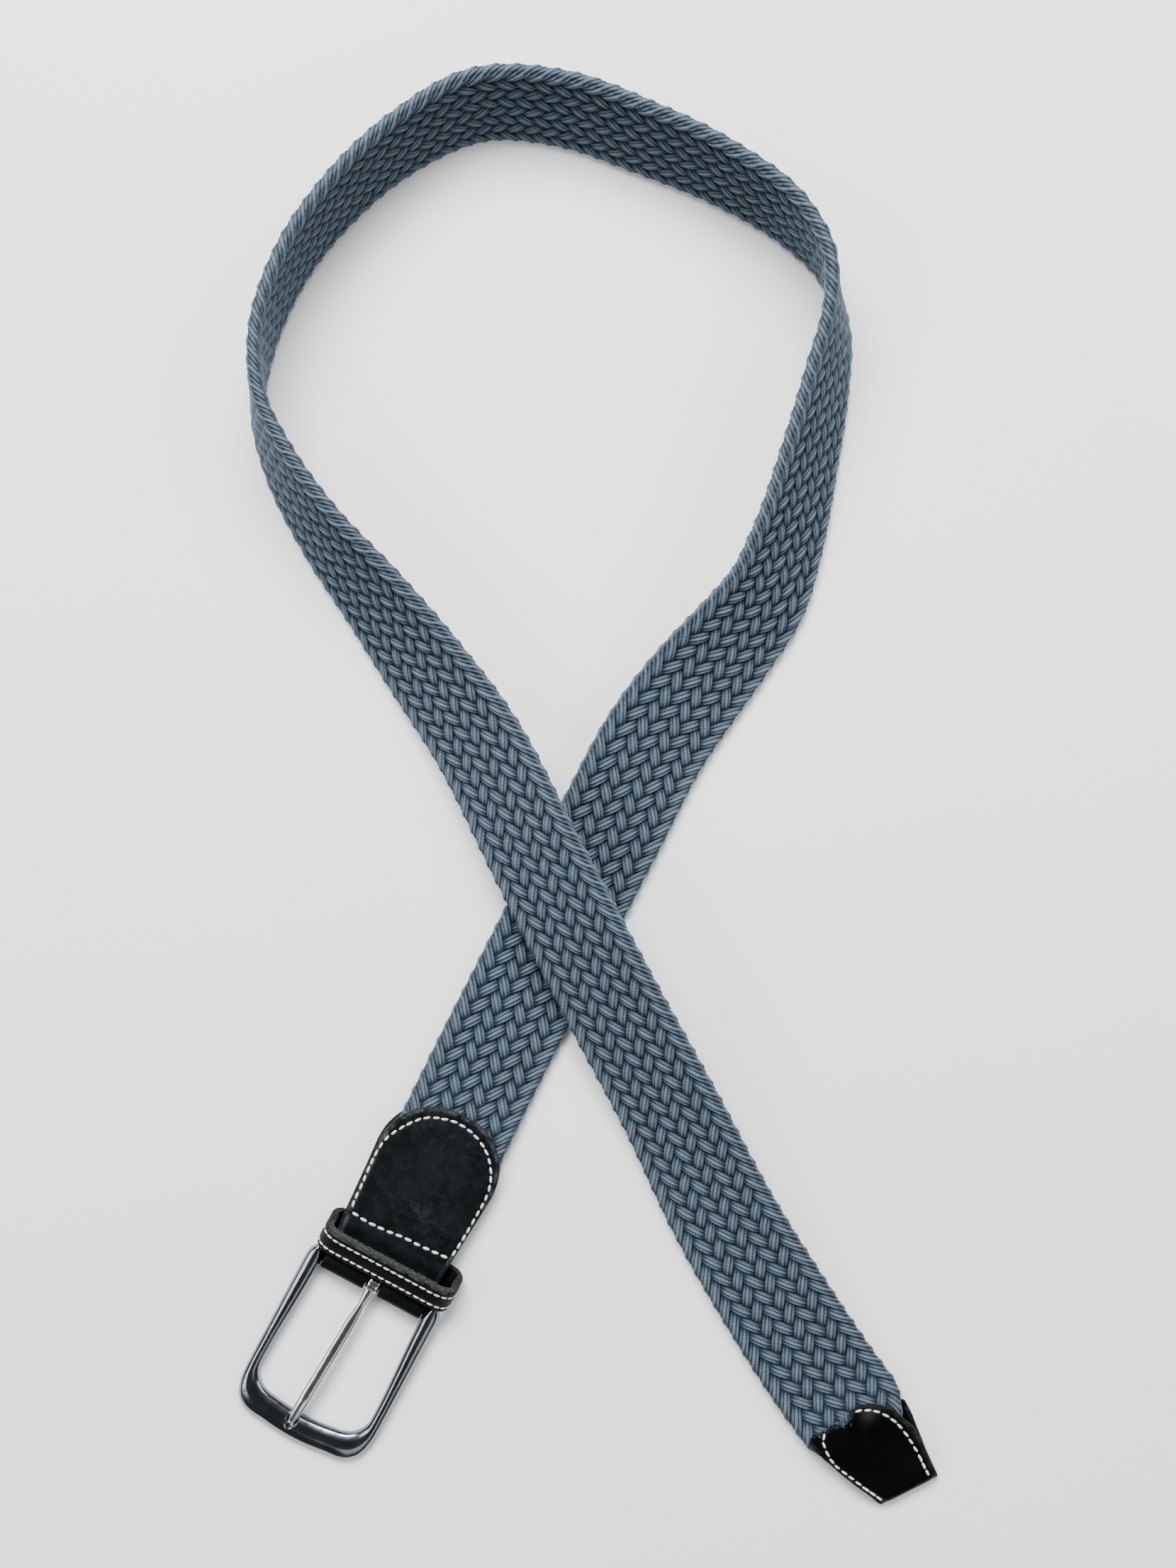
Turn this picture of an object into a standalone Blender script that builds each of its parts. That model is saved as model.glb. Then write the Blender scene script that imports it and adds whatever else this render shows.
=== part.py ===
"""Braided stretch belt with leather ends and a pin buckle, laid down in a crossed loop.

Both tails lie flat with the outer face up. Between them the strap stands on its lower edge and
leans with the curve, and the tip's tail passes over the buckle's tail. Distances along the belt
run from the buckle's bar to the fold at the tip, and across is positive to the left of travel.
Units are metres, +Z is up and the belt lies on z = 0.
"""
import math

import bmesh
import bpy
import numpy as np
from mathutils import Matrix, Vector

GAP = 0.0003

STRAP_WIDTH = 0.035
STRAP_THICK = 0.0048
STRAP_SEWN_THICK = 0.0030
STRAP_END_THICK = 0.0020
STRAP_PRESS_RUN = 0.012
STRAP_STATIONS = (6, 102, 14)

LEATHER = 0.0015

LAY_WIDTH = 0.217
LAY_LENGTH = 0.445
CROSSING_RAMP = 0.105

TAB_LENGTH = 0.0588
TAB_WIDTH = 0.0404
TAB_NECK_WIDTH = 0.0362
TAB_ARCH = 0.0190
TAB_NECK = 0.0160
TAB_POCKET = 0.0186

TIP_LENGTH = 0.0310
TIP_WIDTH = 0.0327
TIP_FOLD_WIDTH = 0.0198
TIP_FOLD_SKEW = 0.18
TIP_FOLD_THICK = 0.0044
TIP_ARCH = 0.0035
TIP_MARGIN = 0.0030
TIP_STRAP_INSET = 0.0040

KEEPER_WIDTH = 0.0093
KEEPER_THICK = 0.0026
KEEPER_SPAN = 0.0452
KEEPER_SHIFT = 0.0009
KEEPER_TILT = math.radians(38.0)
KEEPER_FOOT = 0.0106
KEEPER_HEAD = 0.0068
KEEPER_HEAD_HEIGHT = 0.0116

BAR_RADIUS = 0.0015
BAR_HEIGHT = 0.0044
ROLL_WIDTH = 0.0346
SLOT_BACK = 0.0046

FRAME_WIDTH = 0.0457
FRAME_WINDOW = 0.0352
FRAME_FLARE = 0.0014
FRAME_REACH = 0.0552
FRAME_FRONT = 0.0084
FRAME_BOW = 0.0010
FRAME_CORNER = 0.0080
FRAME_SQUARENESS = 3.0
FRAME_THICK = 0.0036
KNUCKLE = 0.0024

PRONG_REACH = 0.0500
PRONG_WIDTH = 0.0036
PRONG_THICK = 0.0022
PRONG_EYE_WIDTH = 0.0044
PRONG_EYE_WALL = 0.0013
PRONG_YAW = math.radians(-2.9)
PRONG_SEAT = 0.0008

# The route of the strap's middle, chosen by hand: place across and along the lay as shares of its
# width and length from its centre, and the angle in degrees that the strap is rolled up by.
ROUTE = (
    (-0.303, -0.345, 0),
    (-0.259, -0.305, 0),
    (-0.216, -0.266, 0),
    (-0.153, -0.204, 0),
    (-0.057, -0.112, 4),
    (0.033, -0.028, 11),
    (0.100, 0.033, 16),
    (0.154, 0.069, 23),
    (0.203, 0.098, 33),
    (0.249, 0.128, 41),
    (0.279, 0.165, 49),
    (0.309, 0.220, 58),
    (0.334, 0.275, 66),
    (0.346, 0.315, 75),
    (0.332, 0.352, 88),
    (0.286, 0.382, 99),
    (0.187, 0.415, 106),
    (0.078, 0.439, 110),
    (-0.032, 0.458, 111),
    (-0.152, 0.461, 109),
    (-0.258, 0.435, 103),
    (-0.346, 0.397, 99),
    (-0.415, 0.351, 95),
    (-0.456, 0.296, 89),
    (-0.459, 0.258, 81),
    (-0.433, 0.221, 73),
    (-0.372, 0.171, 64),
    (-0.299, 0.126, 53),
    (-0.229, 0.080, 43),
    (-0.161, 0.033, 37),
    (-0.074, -0.048, 34),
    (-0.005, -0.113, 32),
    (0.041, -0.156, 30),
    (0.117, -0.225, 27),
    (0.190, -0.296, 18),
    (0.273, -0.364, 9),
    (0.342, -0.415, 1),
    (0.386, -0.444, 0),
    (0.457, -0.490, 0),
)

# The edge of the tip's upper layer, from one side of the tip to the other: across as a share of
# half the tip's width and distance from the fold as a share of its length.
TIP_UPPER_EDGE = (
    (-1.12, 0.86),
    (-0.98, 0.92),
    (-0.84, 1.00),
    (-0.47, 0.98),
    (-0.06, 0.98),
    (0.23, 0.97),
    (0.38, 0.92),
    (0.50, 0.84),
    (0.65, 0.67),
    (0.73, 0.50),
    (0.84, 0.32),
)

# A buckle arm's or front bar's section: across as a share of its half width, outwards positive,
# and height as a share of half its thickness.
FRAME_SECTION = (
    (-0.86, -1.0),
    (0.86, -1.0),
    (1.0, -0.6),
    (1.0, 0.1),
    (0.75, 0.7),
    (0.25, 1.0),
    (-0.40, 0.95),
    (-0.85, 0.55),
    (-1.0, 0.0),
    (-1.0, -0.6),
)

# The prong from its eye to its point: place as a share of its reach, then half width, half
# thickness and rise above the straight line, as shares of its width, thickness and thickness.
PRONG_SECTIONS = (
    (0.035, 0.50, 0.90, 0.00),
    (0.080, 0.50, 0.80, 0.05),
    (0.150, 0.33, 0.62, 0.15),
    (0.280, 0.48, 0.50, 0.35),
    (0.550, 0.47, 0.48, 0.55),
    (0.830, 0.50, 0.48, 0.50),
    (0.900, 0.46, 0.46, 0.30),
    (0.975, 0.34, 0.36, 0.05),
    (1.000, 0.18, 0.20, -0.02),
)


def clear_scene():
    for item in list(bpy.data.objects):
        bpy.data.objects.remove(item, do_unlink=True)


def make_material(name, colour, roughness, metallic):
    material = bpy.data.materials.new(name)
    material.use_nodes = True
    shader = material.node_tree.nodes["Principled BSDF"]
    shader.inputs["Base Color"].default_value = (*colour, 1.0)
    shader.inputs["Roughness"].default_value = roughness
    shader.inputs["Metallic"].default_value = metallic
    return material


def make_object(name, mesh_builder, material=None):
    """Link a new object whose mesh is filled, with its faces turned outwards, by mesh_builder."""
    mesh = bpy.data.meshes.new(name)
    shape = bmesh.new()
    mesh_builder(shape)
    bmesh.ops.remove_doubles(shape, verts=shape.verts, dist=1e-7)
    bmesh.ops.recalc_face_normals(shape, faces=shape.faces)
    shape.to_mesh(mesh)
    shape.free()
    if material:
        mesh.materials.append(material)
    item = bpy.data.objects.new(name, mesh)
    bpy.context.scene.collection.objects.link(item)
    return item


def loft(shape, sections, closed=False):
    """Join sections, each a ring of the same number of points, and cap the ends unless closed."""
    rings = [[shape.verts.new(point) for point in section] for section in sections]
    pairs = list(zip(rings, rings[1:]))
    if closed:
        pairs.append((rings[-1], rings[0]))
    for first, second in pairs:
        for k in range(len(first)):
            j = (k + 1) % len(first)
            shape.faces.new((first[k], first[j], second[j], second[k]))
    if not closed:
        shape.faces.new(reversed(rings[0]))
        shape.faces.new(rings[-1])


def add_boolean(target, other, operation):
    """Cut or join another object, which stays in the file as a hidden guide."""
    modifier = target.modifiers.new(other.name, "BOOLEAN")
    modifier.operation = operation
    modifier.solver = "EXACT"
    modifier.object = other
    other.hide_render = True
    other.display_type = "WIRE"


def make_rod(name, start, end, radius, sides=16):
    """A round rod between two points, used to cut a bore or to be joined on."""
    axis = Vector(end) - Vector(start)
    place = Matrix.Translation((Vector(start) + Vector(end)) / 2)
    turn = axis.to_track_quat("Z", "Y").to_matrix().to_4x4()

    def build(shape):
        bmesh.ops.create_cone(
            shape,
            cap_ends=True,
            segments=sides,
            radius1=radius,
            radius2=radius,
            depth=axis.length,
            matrix=place @ turn,
        )

    return make_object(name, build)


def ease(share):
    """A smooth step from 0 to 1."""
    share = np.clip(share, 0.0, 1.0)
    return share * share * (3.0 - 2.0 * share)


def smooth_curve(rows, steps=12):
    """Pass a smooth curve through the rows, with slopes taken over the distance between them."""
    rows = np.asarray(rows, float)
    chord = np.r_[0.0, np.cumsum(np.linalg.norm(np.diff(rows[:, :2], axis=0), axis=1))]
    slope = np.gradient(rows, chord, axis=0)
    places = np.linspace(0.0, chord[-1], steps * (len(rows) - 1) + 1)
    span = np.clip(np.searchsorted(chord, places, side="right") - 1, 0, len(rows) - 2)
    width = (chord[span + 1] - chord[span])[:, None]
    t = (places - chord[span])[:, None] / width
    start, end = rows[span], rows[span + 1]
    leave, arrive = slope[span] * width, slope[span + 1] * width
    return (
        (2 * t**3 - 3 * t**2 + 1) * start
        + (t**3 - 2 * t**2 + t) * leave
        + (3 * t**2 - 2 * t**3) * end
        + (t**3 - t**2) * arrive
    )


class Spine:
    """The belt's middle line in plan, read by the distance from the bar."""

    def __init__(self):
        rows = [(x * LAY_WIDTH, y * LAY_LENGTH, roll) for x, y, roll in ROUTE]
        curve = smooth_curve(rows)
        self.points = curve[:, :2]
        self.rolls = np.radians(curve[:, 2])
        steps = np.linalg.norm(np.diff(self.points, axis=0), axis=1)
        self.distances = np.r_[0.0, np.cumsum(steps)]
        self.length = self.distances[-1]
        self.headings = np.gradient(self.points, self.distances, axis=0)
        self.headings /= np.linalg.norm(self.headings, axis=1)[:, None]

    def heading(self, distance):
        pair = [np.interp(distance, self.distances, self.headings[:, k]) for k in (0, 1)]
        pair = np.stack(pair, axis=-1)
        return pair / np.linalg.norm(pair, axis=-1, keepdims=True)

    def left(self, distance):
        ahead = self.heading(distance)
        return np.stack([-ahead[..., 1], ahead[..., 0]], axis=-1)

    def plan(self, distance):
        """The place at a distance, carried on straight past either end."""
        inside = np.clip(distance, 0.0, self.length)
        pair = [np.interp(inside, self.distances, self.points[:, k]) for k in (0, 1)]
        over = np.asarray(distance - inside)[..., None]
        return np.stack(pair, axis=-1) + over * self.heading(distance)

    def roll(self, distance):
        return np.interp(distance, self.distances, self.rolls)

    def place(self, distance, across, height):
        """World points from the distance along, the offset to the left and the height."""
        flat = self.plan(distance) + np.asarray(across)[..., None] * self.left(distance)
        return np.concatenate([flat, np.broadcast_to(height, flat.shape[:-1])[..., None]], axis=-1)

    def crossing(self):
        """Distances at which the line passes under and then over itself."""
        start, step = self.points[:-1], np.diff(self.points, axis=0)
        gap = start[None, :] - start[:, None]
        turn = step[:, None, 0] * step[None, :, 1] - step[:, None, 1] * step[None, :, 0]
        turn = np.where(np.abs(turn) < 1e-12, np.inf, turn)
        along = (gap[..., 0] * step[None, :, 1] - gap[..., 1] * step[None, :, 0]) / turn
        other = (gap[..., 0] * step[:, None, 1] - gap[..., 1] * step[:, None, 0]) / turn
        hit = (along >= 0) & (along < 1) & (other >= 0) & (other < 1)
        hit &= np.arange(len(step))[None, :] > np.arange(len(step))[:, None] + 1
        low, high = np.argwhere(hit)[0]
        return self.distances[low], self.distances[high]


class Strap:
    """The strap's width, thickness, height and roll at a distance from the bar."""

    def __init__(self, spine):
        self.spine = spine
        self.start = TAB_POCKET + GAP
        self.end = spine.length - TIP_STRAP_INSET
        stops = (self.start, TAB_LENGTH + GAP, spine.length - 1.4 * TIP_LENGTH, self.end)
        spans = zip(stops, stops[1:], STRAP_STATIONS)
        runs = [np.linspace(low, high, count)[:-1] for low, high, count in spans]
        self.stations = np.r_[(*runs, self.end)]
        self.under, self.over = spine.crossing()
        roll = spine.roll(self.under)
        self.crossing_lift = STRAP_THICK + (STRAP_WIDTH - STRAP_THICK) * math.sin(roll) + 2 * GAP

    def sewn(self, distance):
        """1 where the strap is held between leather layers, easing to 0 where it is free."""
        tab = 1.0 - ease((distance - TAB_LENGTH) / STRAP_PRESS_RUN)
        tip = 1.0 - ease((self.spine.length - TIP_LENGTH - distance) / STRAP_PRESS_RUN)
        return np.maximum(tab, tip)

    def half_width(self, distance):
        from_fold = self.spine.length - distance
        inside = tip_half_width(np.minimum(from_fold, TIP_LENGTH - TIP_ARCH)) - TIP_MARGIN - GAP
        blend = ease((from_fold / TIP_LENGTH - 0.55) / 0.65)
        return inside + (STRAP_WIDTH / 2 - inside) * blend

    def thickness(self, distance):
        sewn = self.sewn(distance)
        at_tip = self.spine.length - distance
        held = np.interp(at_tip, [0.0, TIP_LENGTH], [STRAP_END_THICK, STRAP_SEWN_THICK])
        return STRAP_THICK + (held - STRAP_THICK) * sewn

    def lift(self, distance):
        """Height of the lowest edge above the table."""
        ramp = np.clip(np.abs(distance - self.over) / CROSSING_RAMP, 0.0, 1.0)
        over = self.crossing_lift * np.cos(ramp * math.pi / 2) ** 2
        return over + (LEATHER + GAP) * self.sewn(distance)

    def section(self, distance, across, height):
        """World points from shares of the half width and half thickness of the flat strap."""
        roll = self.spine.roll(distance)
        half = self.half_width(distance)
        thick = self.thickness(distance)
        middle = self.lift(distance) + (half - thick / 2) * np.abs(np.sin(roll)) + thick / 2
        side = across * np.cos(roll) - height * np.sin(roll)
        return self.spine.place(distance, side, middle + across * np.sin(roll) + height * np.cos(roll))


def rounded_box(half, low, high, radius):
    """Twelve points round a box from -half to half and low to high, its corners cut twice."""
    radius = min(radius, 0.45 * (high - low), 0.9 * half)
    points = []
    for side, level, turn in ((1, high, 0), (-1, high, 90), (-1, low, 180), (1, low, 270)):
        centre = (side * (half - radius), level - math.copysign(radius, level - (low + high) / 2))
        for step in (0, 45, 90):
            angle = math.radians(turn + step)
            points.append((centre[0] + radius * math.cos(angle), centre[1] + radius * math.sin(angle)))
    return points


def tip_half_width(from_fold):
    """Half width of the tip's leather: straight tapering sides, then an arch over the strap."""
    straight = TIP_LENGTH - TIP_ARCH
    side = TIP_FOLD_WIDTH + (TIP_WIDTH - TIP_FOLD_WIDTH) * np.minimum(from_fold, straight) / straight
    share = np.clip((from_fold - straight) / TIP_ARCH, 0.0, 1.0)
    return side / 2 * (1.0 - share**3) ** (1 / 3)


def tab_half_width(distance):
    """Half width of the buckle's leather: the roll, a neck, full width, then an arched end."""
    straight = TAB_LENGTH - TAB_ARCH
    rows = [0.3 * TAB_NECK, 0.6 * TAB_NECK, straight]
    widths = [ROLL_WIDTH, TAB_NECK_WIDTH, TAB_WIDTH]
    share = np.clip((distance - straight) / TAB_ARCH, 0.0, 1.0)
    return np.interp(distance, rows, widths) / 2 * (1.0 - share**2.2) ** (1 / 2.2)


def make_strap(spine, strap, material):
    """The woven band as one solid with round edges, thinner where it is sewn into leather."""
    edge = [math.radians(angle) for angle in (-90, -45, 0, 45, 90)]

    def build(shape):
        sections = []
        for distance in strap.stations:
            half = strap.half_width(distance)
            bend = strap.thickness(distance) / 2
            flat = half - bend
            right = [(-flat - bend * math.cos(a), -bend * math.sin(a)) for a in edge]
            left = [(flat + bend * math.cos(a), bend * math.sin(a)) for a in edge]
            across, height = np.array(left + right).T
            sections.append(strap.section(np.full(len(across), distance), across, height))
        loft(shape, sections)

    return make_object("braided_strap", build, material)


def leather_profile(roll_radius):
    """The folded leather's outside: distance from the bar, underside and top."""
    rows = []
    for degrees in (22, 45, 67, 85):
        angle = math.radians(degrees)
        half = roll_radius * math.sin(angle)
        rows.append((-roll_radius * math.cos(angle), BAR_HEIGHT - half, BAR_HEIGHT + half))
    neck_low = KEEPER_THICK + GAP
    neck_high = neck_low + 2 * LEATHER
    full = 2 * LEATHER + 2 * GAP + STRAP_SEWN_THICK
    rows.append((0.18 * TAB_NECK, BAR_HEIGHT - 0.7 * roll_radius, BAR_HEIGHT + 0.7 * roll_radius))
    rows.append((0.31 * TAB_NECK, neck_low, neck_high))
    rows.append((TAB_NECK, neck_low, neck_high))
    rows.append((TAB_POCKET + GAP, 0.25 * neck_low, full - 0.25 * GAP))
    rows.append((TAB_POCKET + 3 * LEATHER, 0.0, full))
    return rows


def make_pocket(name, spine, stations, half_width, low, high):
    """The hollow that a sewn strap end fills, with a small gap all round."""

    def build(shape):
        sections = []
        for distance in stations:
            ring = rounded_box(half_width(distance) + GAP, low(distance), high(distance), LEATHER)
            across, height = np.array(ring).T
            sections.append(spine.place(np.full(len(across), distance), across, height))
        loft(shape, sections)

    return make_object(name, build)


def make_buckle_tab(spine, strap, material):
    """One folded piece: a roll round the bar, slotted for the prong, and two layers sewn together."""
    roll_radius = BAR_RADIUS + GAP + LEATHER
    profile = leather_profile(roll_radius)
    arch = [TAB_LENGTH - TAB_ARCH * (1 - share) for share in (0, 0.25, 0.45, 0.62, 0.76, 0.88, 0.96)]
    top = profile[-1][2]
    profile += [(distance, 0.0, top) for distance in arch]

    def build(shape):
        sections = []
        for distance, low, high in profile:
            half = float(tab_half_width(max(distance, 0.0)))
            across, height = np.array(rounded_box(half, low, high, LEATHER * 0.8)).T
            sections.append(spine.place(np.full(len(across), distance), across, height))
        loft(shape, sections)

    tab = make_object("buckle_tab", build, material)

    reach = ROLL_WIDTH
    ends = [spine.place(0.0, side * reach, BAR_HEIGHT) for side in (-1, 1)]
    add_boolean(tab, make_rod("bore_cutter", ends[0], ends[1], BAR_RADIUS + GAP), "DIFFERENCE")

    stations = [-2 * roll_radius, SLOT_BACK]
    slot_half = PRONG_EYE_WIDTH / 2
    slot = make_pocket(
        "slot_cutter", spine, stations, lambda d: slot_half, lambda d: -LEATHER, lambda d: 2 * top
    )
    add_boolean(tab, slot, "DIFFERENCE")

    inside = strap.stations[strap.stations < TAB_LENGTH + STRAP_PRESS_RUN]
    stations = [TAB_POCKET, *inside[1:]]
    pocket = make_pocket(
        "tab_pocket_cutter",
        spine,
        stations,
        strap.half_width,
        lambda d: LEATHER,
        lambda d: LEATHER + 2 * GAP + STRAP_SEWN_THICK,
    )
    add_boolean(tab, pocket, "DIFFERENCE")
    return tab


def place_on_tip(spine, across, from_fold, height):
    """World points on the tip's leather, whose fold runs askew to the strap."""
    skew = TIP_FOLD_SKEW * np.asarray(across) * np.clip(1.0 - from_fold / TIP_LENGTH, 0.0, 1.0)
    return spine.place(spine.length - from_fold + skew, across, height)


def make_tip_tab(spine, strap, material):
    """A folded piece over the strap's end, its upper layer cut to a slanting edge."""
    full = 2 * LEATHER + 2 * GAP + STRAP_SEWN_THICK
    straight = TIP_LENGTH - TIP_ARCH
    rows = [straight * share for share in (0.0, 0.03, 0.10, 0.30, 0.62, 1.0)]
    rows += [straight + TIP_ARCH * share for share in (0.35, 0.65, 0.85, 0.96)]
    tops = [0.55 * TIP_FOLD_THICK, 0.92 * TIP_FOLD_THICK, 1.1 * TIP_FOLD_THICK, 0.92 * full, full]

    def build(shape):
        sections = []
        for k, row in enumerate(rows):
            half = float(tip_half_width(row)) - (LEATHER / 2 if k == 0 else 0.0)
            ring = rounded_box(half, 0.0, tops[min(k, len(tops) - 1)], LEATHER * 0.8)
            across, height = np.array(ring).T
            sections.append(place_on_tip(spine, across, np.full(len(across), row), height))
        loft(shape, sections)

    tip = make_object("tip_tab", build, material)

    inside = strap.stations[strap.stations > spine.length - TIP_LENGTH - 3 * TIP_ARCH]
    pocket = make_pocket(
        "tip_pocket_cutter",
        spine,
        [*inside[:-1], strap.end + GAP],
        strap.half_width,
        lambda d: LEATHER,
        lambda d: LEATHER + 2 * GAP + float(strap.thickness(d)),
    )
    add_boolean(tip, pocket, "DIFFERENCE")

    edge = [(across * TIP_WIDTH / 2, share * TIP_LENGTH) for across, share in TIP_UPPER_EDGE]
    far = 1.5 * TIP_LENGTH
    outside = [(TIP_WIDTH, edge[-1][1]), (TIP_WIDTH, far), (-TIP_WIDTH, far), (-TIP_WIDTH, edge[0][1])]
    across, from_fold = np.array(edge + outside).T

    def build_edge(shape):
        levels = (LEATHER + GAP + STRAP_SEWN_THICK / 2, 2 * full)
        loft(shape, [spine.place(spine.length - from_fold, across, level) for level in levels])

    add_boolean(tip, make_object("tip_edge_cutter", build_edge), "DIFFERENCE")
    return tip


def make_keeper(spine, material):
    """A flattened ring of leather round the tab, flat below and leaning to the buckle on top."""
    foot = np.array([KEEPER_FOOT, KEEPER_THICK / 2])
    head = np.array([KEEPER_HEAD, KEEPER_HEAD_HEIGHT])
    low_bend, high_bend = 1.15 * KEEPER_THICK, 2.0 * KEEPER_THICK
    side = KEEPER_SPAN / 2 - KEEPER_THICK / 2
    ring = []
    for bend, level, turns in (
        (low_bend, foot[1] + low_bend, (-90, -60, -30, 0)),
        (high_bend, head[1] - high_bend, (0, 22, 45, 67, 90)),
    ):
        for angle in np.radians(turns):
            ring.append((side - bend + bend * math.cos(angle), level + bend * math.sin(angle)))
    ring = np.array(ring + [(-left, level) for left, level in reversed(ring)])
    rise = np.sin((ring[:, 1] - foot[1]) / (head[1] - foot[1]) * math.pi / 2)
    middle = np.stack([foot[0] + (head[0] - foot[0]) * rise, ring[:, 0], ring[:, 1]], 1)
    tangent = np.roll(middle, -1, axis=0) - np.roll(middle, 1, axis=0)
    tangent /= np.linalg.norm(tangent, axis=1)[:, None]
    tilt = KEEPER_TILT * rise
    across = np.stack([np.cos(tilt), np.zeros_like(tilt), np.sin(tilt)], 1)
    across -= np.sum(across * tangent, axis=1)[:, None] * tangent
    across /= np.linalg.norm(across, axis=1)[:, None]
    outward = np.cross(tangent, across)
    outward *= np.sign(np.sum(outward * (middle - middle.mean(axis=0)), axis=1))[:, None]

    def build(shape):
        sections = []
        for k in range(len(middle)):
            corners = []
            for side, face in ((-1, -1), (1, -1), (1, 0.6), (0.93, 1), (-0.93, 1), (-1, 0.6)):
                offset = side * KEEPER_WIDTH / 2 * across[k] + face * KEEPER_THICK / 2 * outward[k]
                corners.append(middle[k] + offset)
            distance, left, height = np.array(corners).T
            sections.append(spine.place(distance, left - KEEPER_SHIFT, np.maximum(height, 0.0)))
        loft(shape, sections, closed=True)

    return make_object("keeper_loop", build, material)


def frame_edges():
    """Matching points on the frame's inner and outer edge, from one knuckle to the other.

    Each row holds the inner and then the outer point: across, and forward from the bar. Both
    edges run along an arm, round a corner and along the bowed front; the outer corner is a
    superellipse about the inner corner's centre.
    """
    inner_front = FRAME_REACH - FRAME_FRONT - FRAME_BOW
    window, wide = FRAME_WINDOW / 2, FRAME_WINDOW / 2 + FRAME_FLARE
    centre = np.array([wide - FRAME_CORNER, inner_front - FRAME_CORNER])
    reach = np.array([FRAME_WIDTH / 2, FRAME_REACH - FRAME_BOW]) - centre
    edge = FRAME_WIDTH / 2
    arm = edge - window
    rows = [
        (window + 0.3 * arm, -KNUCKLE, edge - 0.3 * arm, -KNUCKLE),
        (window + 0.03 * arm, -0.6 * KNUCKLE, edge - 0.03 * arm, -0.6 * KNUCKLE),
        (window, KNUCKLE, edge, KNUCKLE),
    ]
    for share in (0.35, 0.7):
        forward = share * centre[1]
        rows.append((window + FRAME_FLARE * ease(share), forward, edge, forward))
    for degrees in (0, 5, 15, 30, 45, 60, 75, 85, 90):
        turn = np.array([math.cos(math.radians(degrees)), math.sin(math.radians(degrees))])
        turn = np.clip(turn, 0.0, 1.0)
        inner = centre + FRAME_CORNER * turn
        outer = centre + reach * turn ** (2 / FRAME_SQUARENESS)
        rows.append((*inner, *outer))
    for share in (0.66, 0.33, 0.0):
        bow = FRAME_BOW * (1 - share**2)
        x = share * centre[0]
        rows.append((x, inner_front + bow, x, FRAME_REACH - FRAME_BOW + bow))
    mirrored = [(-a, b, -c, d) for a, b, c, d in reversed(rows[:-1])]
    return np.array(rows + mirrored)


def make_frame(material):
    """A U-shaped frame with a round bar, in its own plane with the bar's middle at the origin."""
    edges = frame_edges()

    def build(shape):
        sections = []
        for inner, outer in zip(edges[:, :2], edges[:, 2:]):
            middle, reach = (inner + outer) / 2, (outer - inner) / 2
            thick = min(FRAME_THICK / 2, 1.3 * np.linalg.norm(reach))
            ring = []
            for share, level in FRAME_SECTION:
                x, forward = middle + share * reach
                ring.append((x, -forward, level * thick))
            sections.append(ring)
        loft(shape, sections)

    frame = make_object("buckle_frame", build, material)
    arm = (FRAME_WINDOW + FRAME_WIDTH) / 4
    bar = make_rod("bar_guide", (-arm, 0, 0), (arm, 0, 0), BAR_RADIUS)
    add_boolean(frame, bar, "UNION")
    bar.parent = frame
    return frame


def prong_line():
    """The prong's stations: distance from the bar, half width, half thickness and height."""
    sag = FRAME_THICK / 2 - PRONG_SEAT + GAP
    rest = sag + 0.5 * PRONG_THICK
    rows = []
    for share, width, thick, rise in PRONG_SECTIONS:
        middle = share * rest + rise * PRONG_THICK
        rows.append((share * PRONG_REACH, width * PRONG_WIDTH, thick * PRONG_THICK, middle))
    return rows


def make_prong(material):
    """An eye round the bar and a flat shank that dips to the front bar, drawn in the frame's plane."""
    rows = prong_line()
    eye_radius = BAR_RADIUS + GAP + PRONG_EYE_WALL
    turn = Matrix.Rotation(PRONG_YAW, 4, "Z")
    ring = [math.radians(angle) for angle in range(0, 360, 45)]

    def build(shape):
        sections = []
        for forward, half, thick, height in rows:
            section = []
            for angle in ring:
                side = math.copysign(abs(math.cos(angle)) ** 0.7, math.cos(angle))
                level = math.copysign(abs(math.sin(angle)) ** 0.7, math.sin(angle))
                section.append(turn @ Vector((side * half, -forward, height + level * thick)))
            sections.append(section)
        loft(shape, sections)

    prong = make_object("prong", build, material)
    half = PRONG_EYE_WIDTH / 2
    eye = make_rod("eye_guide", (-half, 0, 0), (half, 0, 0), eye_radius)
    bore = make_rod("eye_cutter", (-2 * half, 0, 0), (2 * half, 0, 0), BAR_RADIUS + GAP)
    add_boolean(prong, eye, "UNION")
    add_boolean(prong, bore, "DIFFERENCE")
    eye.parent = prong
    bore.parent = prong
    return prong


def add_prong_seat(frame):
    """A shallow round seat for the prong across the top of the front bar."""
    radius = 0.75 * PRONG_WIDTH
    level = FRAME_THICK / 2 - PRONG_SEAT + radius
    turn = Matrix.Rotation(PRONG_YAW, 4, "Z")
    start = turn @ Vector((0, -FRAME_REACH + 1.3 * FRAME_FRONT, level))
    end = turn @ Vector((0, -FRAME_REACH - FRAME_FRONT, level))
    seat = make_rod("seat_cutter", start, end, radius)
    add_boolean(frame, seat, "DIFFERENCE")
    seat.parent = frame


def place_on_bar(item, spine, pitch, base):
    """Stand a piece drawn round the bar on the bar's real place, its front dipped to the table."""
    ahead = spine.heading(0.0)
    turn = math.atan2(ahead[1], ahead[0]) - math.pi / 2
    item.rotation_euler = (pitch, 0.0, turn)
    item.location = (*spine.plan(0.0), BAR_HEIGHT)
    item.parent = base


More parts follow.
